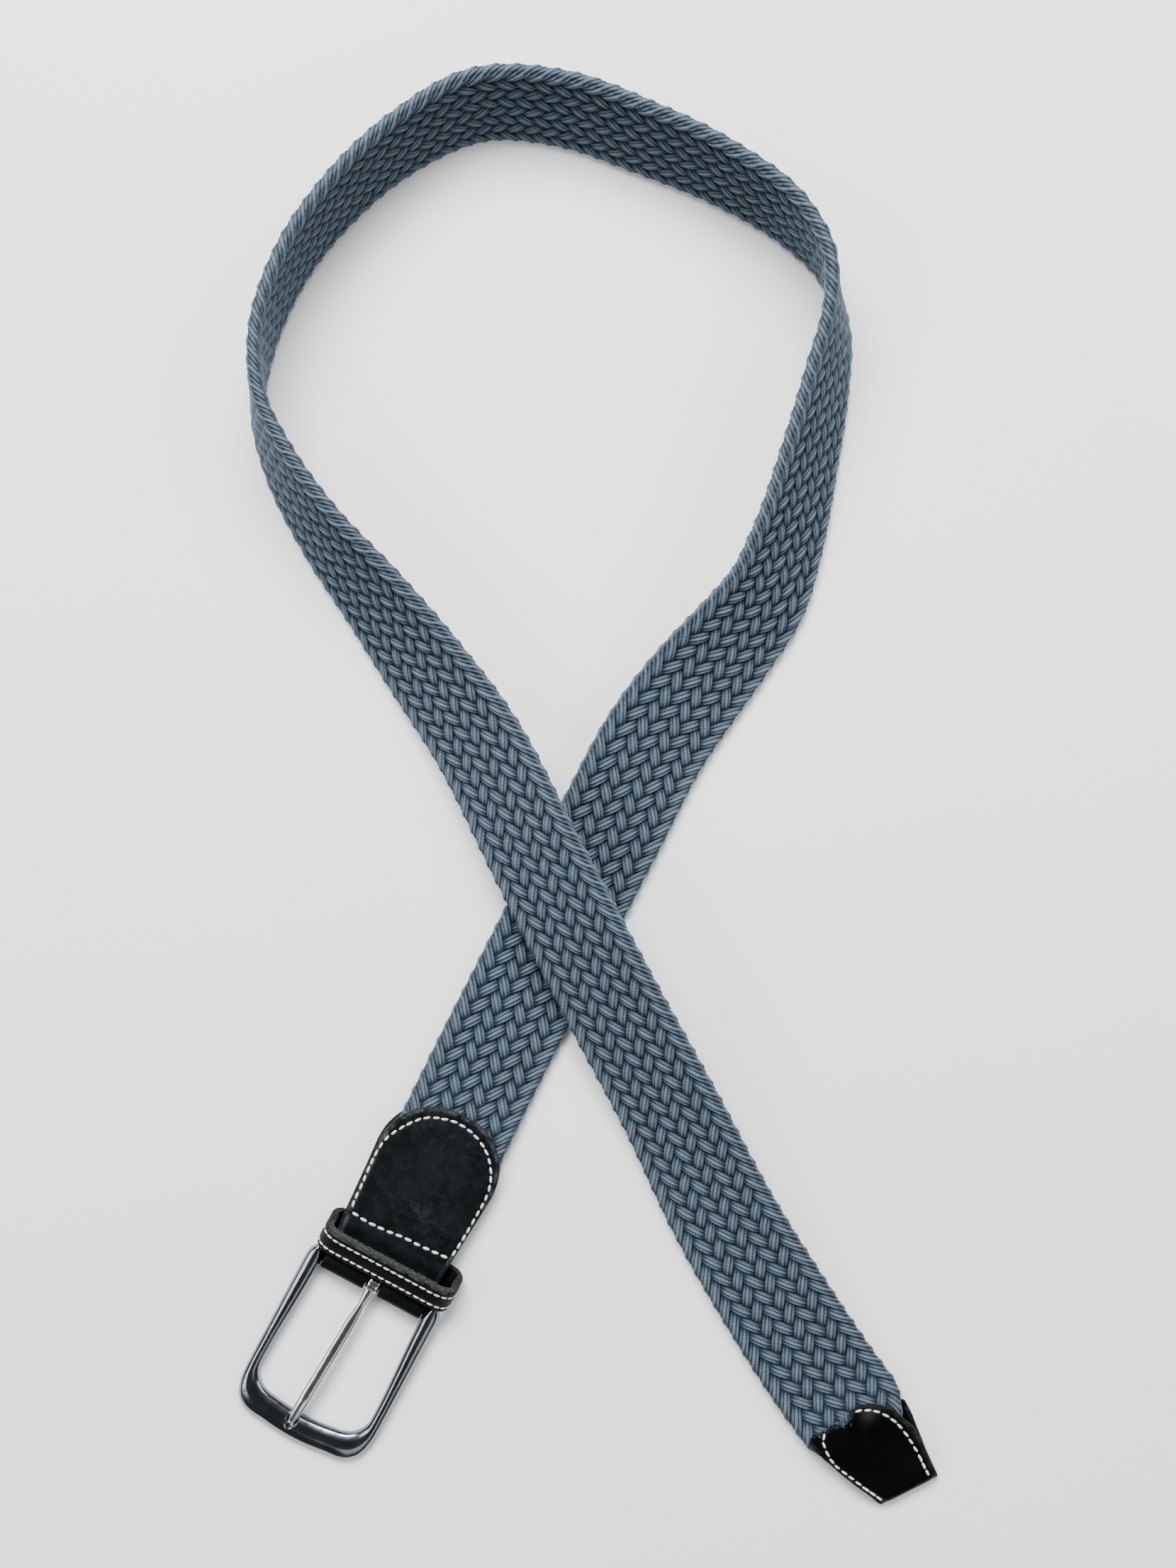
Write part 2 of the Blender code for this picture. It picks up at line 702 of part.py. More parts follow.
def centre_on_origin(base):
    """Move everything so that the middle of its box in plan is at the origin."""
    bpy.context.view_layer.update()
    corners = []
    for item in bpy.data.objects:
        if item.type == "MESH" and not item.hide_render:
            corners += [item.matrix_world @ vertex.co for vertex in item.data.vertices]
    corners = np.array(corners)
    middle = (corners.min(axis=0) + corners.max(axis=0)) / 2
    base.location = (-middle[0], -middle[1], 0.0)


def shade(item, angle):
    item.data.shade_smooth()
    item.data.set_sharp_from_angle(angle=math.radians(angle))


def main():
    clear_scene()
    braid = make_material("braid", (0.075, 0.115, 0.165), 0.75, 0.0)
    nubuck = make_material("nubuck", (0.006, 0.007, 0.008), 0.65, 0.0)
    keeper_leather = make_material("keeper_leather", (0.007, 0.007, 0.008), 0.6, 0.0)
    tip_leather = make_material("tip_leather", (0.005, 0.005, 0.006), 0.55, 0.0)
    frame_metal = make_material("frame_metal", (0.22, 0.23, 0.25), 0.2, 1.0)
    prong_metal = make_material("prong_metal", (0.45, 0.46, 0.47), 0.18, 1.0)

    base = bpy.data.objects.new("belt", None)
    bpy.context.scene.collection.objects.link(base)
    spine = Spine()
    strap = Strap(spine)
    soft = [
        make_strap(spine, strap, braid),
        make_buckle_tab(spine, strap, nubuck),
        make_keeper(spine, keeper_leather),
        make_tip_tab(spine, strap, tip_leather),
    ]
    for item in [other for other in bpy.data.objects if other.type == "MESH"]:
        item.parent = base
    pitch = math.asin((BAR_HEIGHT - FRAME_THICK / 2) / FRAME_REACH)
    frame = make_frame(frame_metal)
    prong = make_prong(prong_metal)
    add_prong_seat(frame)
    for item in (frame, prong):
        place_on_bar(item, spine, pitch, base)
    for item in soft + [frame, prong]:
        shade(item, 35)
    centre_on_origin(base)


main()
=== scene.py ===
"""Braided stretch belt with leather ends and a pin buckle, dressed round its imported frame.

The belt lies in a crossed loop on a pale floor. Its surfaces are worked out in the belt's own
coordinates, which are the distance along it from the buckle's bar, the place across it (left
of travel positive) and the height, and are then carried to their place by the route.
"""
import math

import bmesh
import bpy
import numpy as np
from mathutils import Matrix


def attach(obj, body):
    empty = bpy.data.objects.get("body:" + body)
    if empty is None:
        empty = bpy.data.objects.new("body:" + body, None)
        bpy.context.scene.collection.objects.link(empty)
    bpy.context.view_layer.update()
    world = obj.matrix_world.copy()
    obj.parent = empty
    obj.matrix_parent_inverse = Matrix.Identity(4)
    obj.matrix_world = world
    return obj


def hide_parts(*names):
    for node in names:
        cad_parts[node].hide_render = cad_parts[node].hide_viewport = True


bl_info = {
    "name": "Braided Stretch Belt",
    "version": (1, 0, 0),
    "blender": (4, 5, 0),
    "location": "3D View > Sidebar > Belt",
    "description": "Builds the braid, leather ends, stitching and buckle of a stretch belt",
    "category": "Add Mesh",
}

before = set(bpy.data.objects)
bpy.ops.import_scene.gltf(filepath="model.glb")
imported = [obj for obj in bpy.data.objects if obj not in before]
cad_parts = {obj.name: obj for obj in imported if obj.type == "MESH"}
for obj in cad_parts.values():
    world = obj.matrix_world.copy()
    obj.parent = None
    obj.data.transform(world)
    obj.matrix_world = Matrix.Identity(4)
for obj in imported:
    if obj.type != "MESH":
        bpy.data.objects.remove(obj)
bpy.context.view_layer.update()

MM = 0.001
GAP = 0.3 * MM
FLOOR_GAP = 0.05 * MM
UP, DOWN = (0.0, 0.0, 1.0), (0.0, 0.0, -1.0)

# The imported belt's own sizes, which the surfaces here follow.
LAY_WIDTH = 217.0 * MM
LAY_LENGTH = 445.0 * MM
LAY_SHIFT = (-0.035 * MM, 4.428 * MM)
CROSSING_RAMP = 105.0 * MM
STRAP_WIDTH = 35.0 * MM
STRAP_THICK = 4.8 * MM
STRAP_SEWN_THICK = 3.0 * MM
STRAP_END_THICK = 2.0 * MM
STRAP_PRESS_RUN = 12.0 * MM
LEATHER = 1.5 * MM
TAB_LENGTH = 58.8 * MM
TAB_WIDTH = 40.4 * MM
TAB_NECK_WIDTH = 36.2 * MM
TAB_ARCH = 19.0 * MM
TAB_NECK = 16.0 * MM
TAB_POCKET = 18.6 * MM
TAB_TOP = 6.6 * MM
TIP_LENGTH = 31.0 * MM
TIP_WIDTH = 32.7 * MM
TIP_FOLD_WIDTH = 19.8 * MM
TIP_FOLD_SKEW = 0.18
TIP_ARCH = 3.5 * MM
TIP_MARGIN = 3.0 * MM
TIP_STRAP_INSET = 4.0 * MM
KEEPER_WIDTH = 9.3 * MM
KEEPER_THICK = 2.6 * MM
KEEPER_SPAN = 45.2 * MM
KEEPER_SHIFT = 0.9 * MM
KEEPER_TILT = math.radians(38.0)
KEEPER_FOOT = 10.6 * MM
KEEPER_HEAD = 6.8 * MM
KEEPER_HEAD_HEIGHT = 11.6 * MM
BAR_RADIUS = 1.5 * MM
BAR_HEIGHT = 4.4 * MM
ROLL_WIDTH = 34.6 * MM
FRAME_WIDTH = 45.7 * MM
FRAME_WINDOW = 35.2 * MM
FRAME_FLARE = 1.4 * MM
FRAME_REACH = 55.2 * MM
FRAME_FRONT = 8.4 * MM
FRAME_BOW = 1.0 * MM
FRAME_CORNER = 8.0 * MM
FRAME_SQUARENESS = 3.0
FRAME_THICK = 3.6 * MM
KNUCKLE = 2.4 * MM
PRONG_REACH = 50.0 * MM
PRONG_WIDTH = 3.6 * MM
PRONG_THICK = 2.2 * MM
PRONG_EYE_WIDTH = 4.4 * MM
PRONG_EYE_WALL = 1.3 * MM
PRONG_YAW = math.radians(-2.9)
PRONG_SEAT = 0.8 * MM

# The route of the strap's middle: place across and along the lay as shares of its width and
# length from its centre, and the angle in degrees that the strap is rolled up by.
ROUTE = (
    (-0.303, -0.345, 0), (-0.259, -0.305, 0), (-0.216, -0.266, 0), (-0.153, -0.204, 0),
    (-0.057, -0.112, 4), (0.033, -0.028, 11), (0.100, 0.033, 16), (0.154, 0.069, 23),
    (0.203, 0.098, 33), (0.249, 0.128, 41), (0.279, 0.165, 49), (0.309, 0.220, 58),
    (0.334, 0.275, 66), (0.346, 0.315, 75), (0.332, 0.352, 88), (0.286, 0.382, 99),
    (0.187, 0.415, 106), (0.078, 0.439, 110), (-0.032, 0.458, 111), (-0.152, 0.461, 109),
    (-0.258, 0.435, 103), (-0.346, 0.397, 99), (-0.415, 0.351, 95), (-0.456, 0.296, 89),
    (-0.459, 0.258, 81), (-0.433, 0.221, 73), (-0.372, 0.171, 64), (-0.299, 0.126, 53),
    (-0.229, 0.080, 43), (-0.161, 0.033, 37), (-0.074, -0.048, 34), (-0.005, -0.113, 32),
    (0.041, -0.156, 30), (0.117, -0.225, 27), (0.190, -0.296, 18), (0.273, -0.364, 9),
    (0.342, -0.415, 1), (0.386, -0.444, 0), (0.457, -0.490, 0),
)

# The stitched line round the tab and the row across its neck: place across, left positive,
# and distance from the bar, in mm.
TAB_SEAM = (
    (-17.0, 18.6), (-17.4, 22.8), (-17.6, 26.5), (-17.7, 31.0), (-17.8, 35.5), (-17.8, 39.7),
    (-17.3, 42.8), (-16.3, 45.6), (-14.6, 48.4), (-12.0, 51.4), (-8.9, 53.5), (-5.0, 55.1),
    (-1.8, 55.7), (1.5, 55.8), (4.9, 55.0), (8.0, 54.0), (10.9, 52.1), (13.2, 49.5),
    (15.0, 47.0), (16.4, 44.6), (17.6, 42.1), (18.2, 39.2), (18.4, 36.0), (18.3, 32.0),
    (18.0, 28.6), (17.6, 24.6), (17.4, 20.4), (17.0, 17.4),
)
TAB_ROW = (
    (-16.4, 17.8), (-12.0, 17.5), (-6.0, 17.1), (-1.0, 17.0), (3.0, 16.4), (7.0, 16.1),
    (11.0, 15.9), (14.0, 16.1), (16.6, 16.5),
)

# The tip's layers and stitched lines: place across, left positive, and distance from the end
# of the strap's middle line, in mm. The outlines start and end at the fold.
TIP_UPPER = (
    (-10.5, 6.0), (-11.5, 9.5), (-12.5, 13.0), (-13.5, 17.0), (-14.3, 21.0), (-15.0, 24.5),
    (-15.6, 28.6), (-15.7, 31.0), (-14.2, 32.2), (-11.0, 31.7), (-7.0, 31.2), (-3.5, 30.6),
    (-0.8, 30.9), (1.0, 31.7), (4.5, 30.9), (7.2, 29.4), (9.2, 27.2), (10.8, 24.6),
    (11.8, 22.0), (12.5, 19.5), (12.9, 17.0), (13.0, 14.5), (12.6, 11.5), (12.0, 8.5),
    (10.9, 4.8),
)
TIP_LOWER = (
    (-10.4, 5.6), (-12.4, 12.6), (-14.1, 20.6), (-15.3, 27.5), (-12.0, 28.5), (0.0, 28.0),
    (9.0, 27.0), (13.5, 25.0), (15.7, 23.0), (14.9, 18.0), (13.7, 14.0), (12.7, 10.0),
    (11.7, 6.5), (10.9, 3.0),
)
TIP_SEAM_RIGHT = (
    (1.2, 30.9), (3.0, 30.1), (5.3, 28.5), (7.4, 26.2), (8.7, 23.5), (9.6, 20.8),
    (9.9, 18.0), (9.9, 15.0), (9.7, 12.4), (9.4, 10.1), (9.1, 7.8), (8.5, 5.2),
    (8.0, 2.5), (7.7, 0.4),
)
TIP_SEAM_LEFT = (
    (-9.6, 31.0), (-10.9, 30.5), (-11.8, 29.4), (-12.8, 26.4), (-13.3, 23.2), (-13.1, 20.2),
    (-12.4, 17.4), (-11.6, 14.6), (-10.9, 12.0), (-10.3, 9.6), (-9.4, 6.8), (-8.7, 4.2),
    (-8.4, 3.0),
)

# A buckle arm's section: across as a share of its half width, outwards positive, and height as
# a share of half its thickness.
FRAME_SECTION = (
    (-0.86, -1.0), (0.86, -1.0), (1.0, -0.6), (1.0, 0.1), (0.75, 0.7),
    (0.25, 1.0), (-0.40, 0.95), (-0.85, 0.55), (-1.0, 0.0), (-1.0, -0.6),
)

# The prong from its eye to its point: place as a share of its reach, then half width, half
# thickness and rise above the straight line, as shares of its width, thickness and thickness.
PRONG_SECTIONS = (
    (0.035, 0.50, 0.90, 0.00), (0.080, 0.50, 0.80, 0.05), (0.150, 0.33, 0.62, 0.15),
    (0.280, 0.48, 0.50, 0.35), (0.550, 0.47, 0.48, 0.55), (0.830, 0.50, 0.48, 0.50),
    (0.900, 0.46, 0.46, 0.30), (0.975, 0.34, 0.36, 0.05), (1.000, 0.18, 0.20, -0.02),
)

# How finely the surfaces are divided.
CORD_STATIONS = 6  # along a cord, for each strand's step along the braid
RIM_ROWS, BAND_ROWS, INNER_ROWS = 7, 19, 12  # of a leather layer, from its edge inwards
RAW_ROWS = 9  # of a leather layer's cut edge that show raw
KEEPER_STATIONS = 420
KEEPER_ROUND = 110 * MM  # the way round the keeper, which its cut edge's roughness follows
TIP_STATIONS = 380
SEAM_STEPS = 14  # for each row of a stitched line's table

# Thread and stitches, as shares of the thread's thickness.
STITCH_ARCH = 0.42
STITCH_SINK = 0.18
UNDER_STITCH = 0.62  # depth of a stitch in an underside
THREAD_WIDE = 1.08
THREAD_TALL = 0.8
PLY_PITCH = 0.55  # in mm, as the UV map's lengths

# The stage, in m, and its lights: bearing and lift in degrees, and the value with the power.
FLOOR_HALF = 8.0
GLOW_START, GLOW_FULL = 0.9, 2.6
ROOM_TINT = (0.95, 0.97, 1.0)
LIGHT_DISTANCE = 1.3
LIGHT_SIZE = (0.9, 0.55)
LIGHTS = {
    "light_top": (100.0, 52.0, "key"),
    "light_left": (190.0, 45.0, "fill"),
    "light_right": (10.0, 45.0, "fill"),
    "light_front": (280.0, 45.0, "front"),
}


def ease(share):
    """A smooth step: 3 x squared minus 2 x cubed, held at 0 and 1 outside."""
    share = np.clip(share, 0.0, 1.0)
    return share * share * (3.0 - 2.0 * share)


def hump(distance, width):
    """A bell: e to the power of minus the squared distance over the width."""
    return np.exp(-((distance / width) ** 2))


def ripple(along, across, seed, size):
    """A smooth uneven value from about -1 to 1: the mean of eight seeded plane waves."""
    rng = np.random.default_rng(seed)
    total = 0.0
    for _ in range(8):
        turn, phase = rng.uniform(0.0, 2 * math.pi, 2)
        pace = 2 * math.pi / (size * rng.uniform(0.6, 1.8))
        total = total + np.sin(pace * (along * math.cos(turn) + across * math.sin(turn)) + phase)
    return total / 4.0


def run_along(points):
    """Length along lines of points, from 0 at the start of each."""
    steps = np.linalg.norm(np.diff(points, axis=-2), axis=-1)
    return np.concatenate([np.zeros_like(steps[..., :1]), np.cumsum(steps, axis=-1)], axis=-1)


def read_line(places, run, points):
    """A line's points at places along its run."""
    return np.stack([np.interp(places, run, column) for column in points.T], axis=-1)


def turns(count):
    """Angles spread evenly round a circle."""
    return np.arange(count) / count * 2 * math.pi


def hann_mean(rows, size):
    """A moving mean of the rows, weighted by a Hann window of a size, with the ends held."""
    weight = np.hanning(size)
    weight /= weight.sum()
    rows = np.pad(rows, ((size // 2, size // 2), (0, 0)), mode="edge")
    return np.stack([np.convolve(column, weight, mode="valid") for column in rows.T], axis=-1)


def smooth_curve(rows, steps=12):
    """A cubic through the rows, with slopes taken over the distance between them in plan."""
    rows = np.asarray(rows, float)
    chord = run_along(rows[:, :2])
    slope = np.gradient(rows, chord, axis=0)
    places = np.linspace(0.0, chord[-1], steps * (len(rows) - 1) + 1)
    span = np.clip(np.searchsorted(chord, places, side="right") - 1, 0, len(rows) - 2)
    width = (chord[span + 1] - chord[span])[:, None]
    t = (places - chord[span])[:, None] / width
    start, end = rows[span], rows[span + 1]
    leave, arrive = slope[span] * width, slope[span + 1] * width
    return (
        (2 * t**3 - 3 * t**2 + 1) * start
        + (t**3 - 2 * t**2 + t) * leave
        + (3 * t**2 - 2 * t**3) * end
        + (t**3 - t**2) * arrive
    )


def smooth_loop(points, count, radius):
    """A closed loop spread evenly by length, with its corners rounded by a bell-shaped mean."""
    closed = np.vstack([points, points[:1]])
    run = run_along(closed)
    loop = read_line(np.linspace(0.0, run[-1], count, endpoint=False), run, closed)
    offset = np.minimum(np.arange(count), count - np.arange(count)) * run[-1] / count
    weight = hump(offset, radius)
    weight /= weight.sum()
    spectrum = np.fft.rfft(loop, axis=0) * np.fft.rfft(weight)[:, None]
    return np.fft.irfft(spectrum, count, axis=0)


def spread(points, count):
    """An open line spread evenly by length into count points."""
    run = run_along(points)
    return read_line(np.linspace(0.0, run[-1], count), run, points)


def line_gap(along, across, lines):
    """Distance from places to the nearest point of closely spaced lines, worked out in parts."""
    points, part_size = np.concatenate(lines), 4000
    place = np.stack([np.ravel(along), np.ravel(across)], axis=1)
    parts = np.array_split(place, max(1, len(place) // part_size))
    gaps = [np.min(np.linalg.norm(part[:, None] - points[None], axis=2), axis=1) for part in parts]
    return np.concatenate(gaps).reshape(np.shape(along))


def unit(vectors):
    """The vectors at length 1."""
    return vectors / np.maximum(np.linalg.norm(vectors, axis=-1, keepdims=True), 1e-12)


class Spine:
    """The belt's middle line in plan, read by the distance from the bar."""

    def __init__(self):
        rows = [(x * LAY_WIDTH, y * LAY_LENGTH, roll) for x, y, roll in ROUTE]
        curve = smooth_curve(rows)
        self.points = curve[:, :2] + np.array(LAY_SHIFT)
        self.rolls = np.radians(curve[:, 2])
        self.distances = run_along(self.points)
        self.length = self.distances[-1]
        self.headings = unit(np.gradient(self.points, self.distances, axis=0))

    def heading(self, distance):
        """The direction of travel in plan."""
        return unit(read_line(distance, self.distances, self.headings))

    def left(self, distance):
        """The direction to the left of travel in plan."""
        ahead = self.heading(distance)
        return np.stack([-ahead[..., 1], ahead[..., 0]], axis=-1)

    def plan(self, distance):
        """The place at a distance, carried on straight past either end."""
        inside = np.clip(distance, 0.0, self.length)
        over = np.asarray(distance - inside)[..., None]
        return read_line(inside, self.distances, self.points) + over * self.heading(distance)

    def roll(self, distance):
        """The angle that the strap is rolled up by."""
        return np.interp(distance, self.distances, self.rolls)

    def place(self, distance, across, height):
        """World points: the plan point, plus across along its left, at the height."""
        distance, across, height = np.broadcast_arrays(distance, across, height)
        flat = self.plan(distance) + across[..., None] * self.left(distance)
        return np.concatenate([flat, height[..., None]], axis=-1)

    def crossing(self):
        """Distances at which the line passes under and then over itself."""
        start, step = self.points[:-1], np.diff(self.points, axis=0)
        gap = start[None, :] - start[:, None]
        turn = step[:, None, 0] * step[None, :, 1] - step[:, None, 1] * step[None, :, 0]
        turn = np.where(np.abs(turn) < 1e-12, np.inf, turn)
        along = (gap[..., 0] * step[None, :, 1] - gap[..., 1] * step[None, :, 0]) / turn
        other = (gap[..., 0] * step[:, None, 1] - gap[..., 1] * step[:, None, 0]) / turn
        hit = (along >= 0) & (along < 1) & (other >= 0) & (other < 1)
        hit &= np.arange(len(step))[None, :] > np.arange(len(step))[:, None] + 1
        low, high = np.argwhere(hit)[0]
        return self.distances[low], self.distances[high]


def tip_half_width(from_fold):
    """Half width of the tip's leather: straight tapering sides, then an arch over the strap."""
    straight = TIP_LENGTH - TIP_ARCH
    taper = TIP_WIDTH - TIP_FOLD_WIDTH
    side = TIP_FOLD_WIDTH + taper * np.minimum(from_fold, straight) / straight
    share = np.clip((from_fold - straight) / TIP_ARCH, 0.0, 1.0)
    return side / 2 * (1.0 - share**3) ** (1 / 3)


class Strap:
    """The strap's width, thickness, height and roll at a distance from the bar."""

    def __init__(self, spine):
        self.spine = spine
        self.start = TAB_POCKET + GAP
        self.end = spine.length - TIP_STRAP_INSET
        self.under, self.over = spine.crossing()
        roll = spine.roll(self.under)
        self.crossing_lift = STRAP_THICK + (STRAP_WIDTH - STRAP_THICK) * math.sin(roll) + 2 * GAP

    def sewn(self, distance):
        """1 where the strap is held between leather layers, easing to 0 where it is free."""
        tab = 1.0 - ease((distance - TAB_LENGTH) / STRAP_PRESS_RUN)
        tip = 1.0 - ease((self.spine.length - TIP_LENGTH - distance) / STRAP_PRESS_RUN)
        return np.maximum(tab, tip)

    def half_width(self, distance):
        """Half the full width, narrowing inside the tip's leather."""
        from_fold = self.spine.length - distance
        inside = tip_half_width(np.minimum(from_fold, TIP_LENGTH - TIP_ARCH)) - TIP_MARGIN - GAP
        blend = ease((from_fold / TIP_LENGTH - 0.5) / 0.52)
        return inside + (STRAP_WIDTH / 2 - inside) * blend

    def thickness(self, distance):
        """The full thickness, pressed thinner where the strap is held."""
        at_tip = self.spine.length - distance
        held = np.interp(at_tip, [0.0, TIP_LENGTH], [STRAP_END_THICK, STRAP_SEWN_THICK])
        return STRAP_THICK + (held - STRAP_THICK) * self.sewn(distance)

    def lift(self, distance):
        """Height of the lowest edge above the floor: a cosine hump over the crossing."""
        ramp = np.clip(np.abs(distance - self.over) / CROSSING_RAMP, 0.0, 1.0)
        over = self.crossing_lift * np.cos(ramp * math.pi / 2) ** 2
        return over + (LEATHER + GAP) * self.sewn(distance)

    def carry(self, flat):
        """World points of (distance, across, height) in the flat, full-size strap.

        Across and height shrink with the strap's width and thickness, turn by the roll about
        its middle, and the middle stands so that the lower edge touches what it lies on.
        """
        distance, across, height = flat[..., 0], flat[..., 1], flat[..., 2]
        roll = self.spine.roll(distance)
        half = self.half_width(distance)
        thick = self.thickness(distance)
        across = across * half / (STRAP_WIDTH / 2)
        height = height * thick / STRAP_THICK
        middle = self.lift(distance) + (half - thick / 2) * np.abs(np.sin(roll)) + thick / 2
        side = across * np.cos(roll) - height * np.sin(roll)
        level = middle + across * np.sin(roll) + height * np.cos(roll)
        return self.spine.place(distance, side, level)


SPINE = Spine()
STRAP = Strap(SPINE)


def grid_quads(rows, columns, close_rows=False, close_columns=True):
    """Corner numbers of the quads of a grid whose points are numbered row by row."""
    row = np.arange(rows if close_rows else rows - 1)[:, None]
    column = np.arange(columns if close_columns else columns - 1)[None, :]
    row, column = np.broadcast_arrays(row, column)
    next_row, next_column = (row + 1) % rows, (column + 1) % columns
    corners = [
        row * columns + column,
        next_row * columns + column,
        next_row * columns + next_column,
        row * columns + next_column,
    ]
    return np.stack(corners, axis=-1).reshape(-1, 4)


def solid_volume(points, corners, starts, sizes):
    """Signed volume: the sum over the faces' fans of the triple product of their corners."""
    total = 0.0
    for size in np.unique(sizes):
        face = starts[sizes == size][:, None] + np.arange(size)[None, :]
        p = points[corners[face]]
        for k in range(1, size - 1):
            total += np.sum(p[:, 0] * np.cross(p[:, k], p[:, k + 1])) / 6.0
    return total


def make_mesh(name, points, quads, caps=None, quad_uv=None, marks=None, merge=False):
    """Fill a mesh from whole arrays, with its faces turned outwards.

    quads and caps hold corner numbers; quad_uv is (quads, 4, 2); marks are named values for
    each point. merge joins points that fall together, as at poles and seams.
    """
    points = np.asarray(points, float).reshape(-1, 3)
    groups = [quads] + ([] if caps is None else [caps])
    corners = np.concatenate([group.ravel() for group in groups])
    sizes = np.concatenate([np.full(len(group), group.shape[1]) for group in groups])
    starts = np.r_[0, np.cumsum(sizes)[:-1]]
    if solid_volume(points, corners, starts, sizes) < 0.0:
        groups = [group[:, ::-1] for group in groups]
        corners = np.concatenate([group.ravel() for group in groups])
        quad_uv = None if quad_uv is None else quad_uv[:, ::-1]
    mesh = bpy.data.meshes.new(name)
    mesh.vertices.add(len(points))
    mesh.vertices.foreach_set("co", points.ravel())
    mesh.loops.add(len(corners))
    mesh.loops.foreach_set("vertex_index", corners.astype(np.int32))
    mesh.polygons.add(len(sizes))
    mesh.polygons.foreach_set("loop_start", starts.astype(np.int32))
    mesh.update(calc_edges=True)
    if quad_uv is not None:
        layer = mesh.uv_layers.new(name="UVMap")
        flat = np.zeros((len(corners), 2))
        flat[: quad_uv.shape[0] * 4] = quad_uv.reshape(-1, 2)
        layer.uv.foreach_set("vector", flat.ravel())
    for mark, values in (marks or {}).items():
        layer = mesh.attributes.new(mark, "FLOAT", "POINT")
        layer.data.foreach_set("value", np.asarray(values, np.float32).ravel())
    if merge:
        shape = bmesh.new()
        shape.from_mesh(mesh)
        bmesh.ops.remove_doubles(shape, verts=shape.verts, dist=2e-6)
        bmesh.ops.dissolve_degenerate(shape, edges=shape.edges, dist=1e-7)
        shape.to_mesh(mesh)
        shape.free()
    mesh.validate()
    mesh.shade_smooth()
    return mesh


def add_piece(mesh, material, body, node=None):
    """Link a finished piece, let it ride on its body and hide the imported part that it stands for.
    """
    mesh.materials.append(material)
    piece = bpy.data.objects.new(mesh.name, mesh)
    bpy.context.scene.collection.objects.link(piece)
    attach(piece, body)
    if node is not None:
        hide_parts(node)


def tube_mesh(name, rings, along=None, marks=None):
    """Tubes through rings (tubes, stations, sides, 3), capped flat at both ends.

    The UV map's u goes round the tube from 0 to 1, and its v is the length along it in mm.
    """
    tubes, stations, sides = rings.shape[:3]
    one = grid_quads(stations, sides)
    base = np.arange(tubes)[:, None, None] * stations * sides
    quads = (one[None] + base).reshape(-1, 4)
    first = np.arange(sides)[::-1][None, :] + base[:, 0]
    last = np.arange(sides)[None, :] + (stations - 1) * sides + base[:, 0]
    uv = None
    if along is not None:
        side = np.arange(sides) / sides
        u = np.stack([side, side, side + 1 / sides, side + 1 / sides], axis=-1)
        u = np.broadcast_to(u[None, None], (tubes, stations - 1, sides, 4))
        v = np.stack([along[:, :-1], along[:, 1:], along[:, 1:], along[:, :-1]], axis=-1)
        v = np.broadcast_to(v[:, :, None], (tubes, stations - 1, sides, 4))
        uv = np.stack([u, v], axis=-1).reshape(-1, 4, 2)
    return make_mesh(name, rings, quads, np.vstack([first, last]), uv, marks)


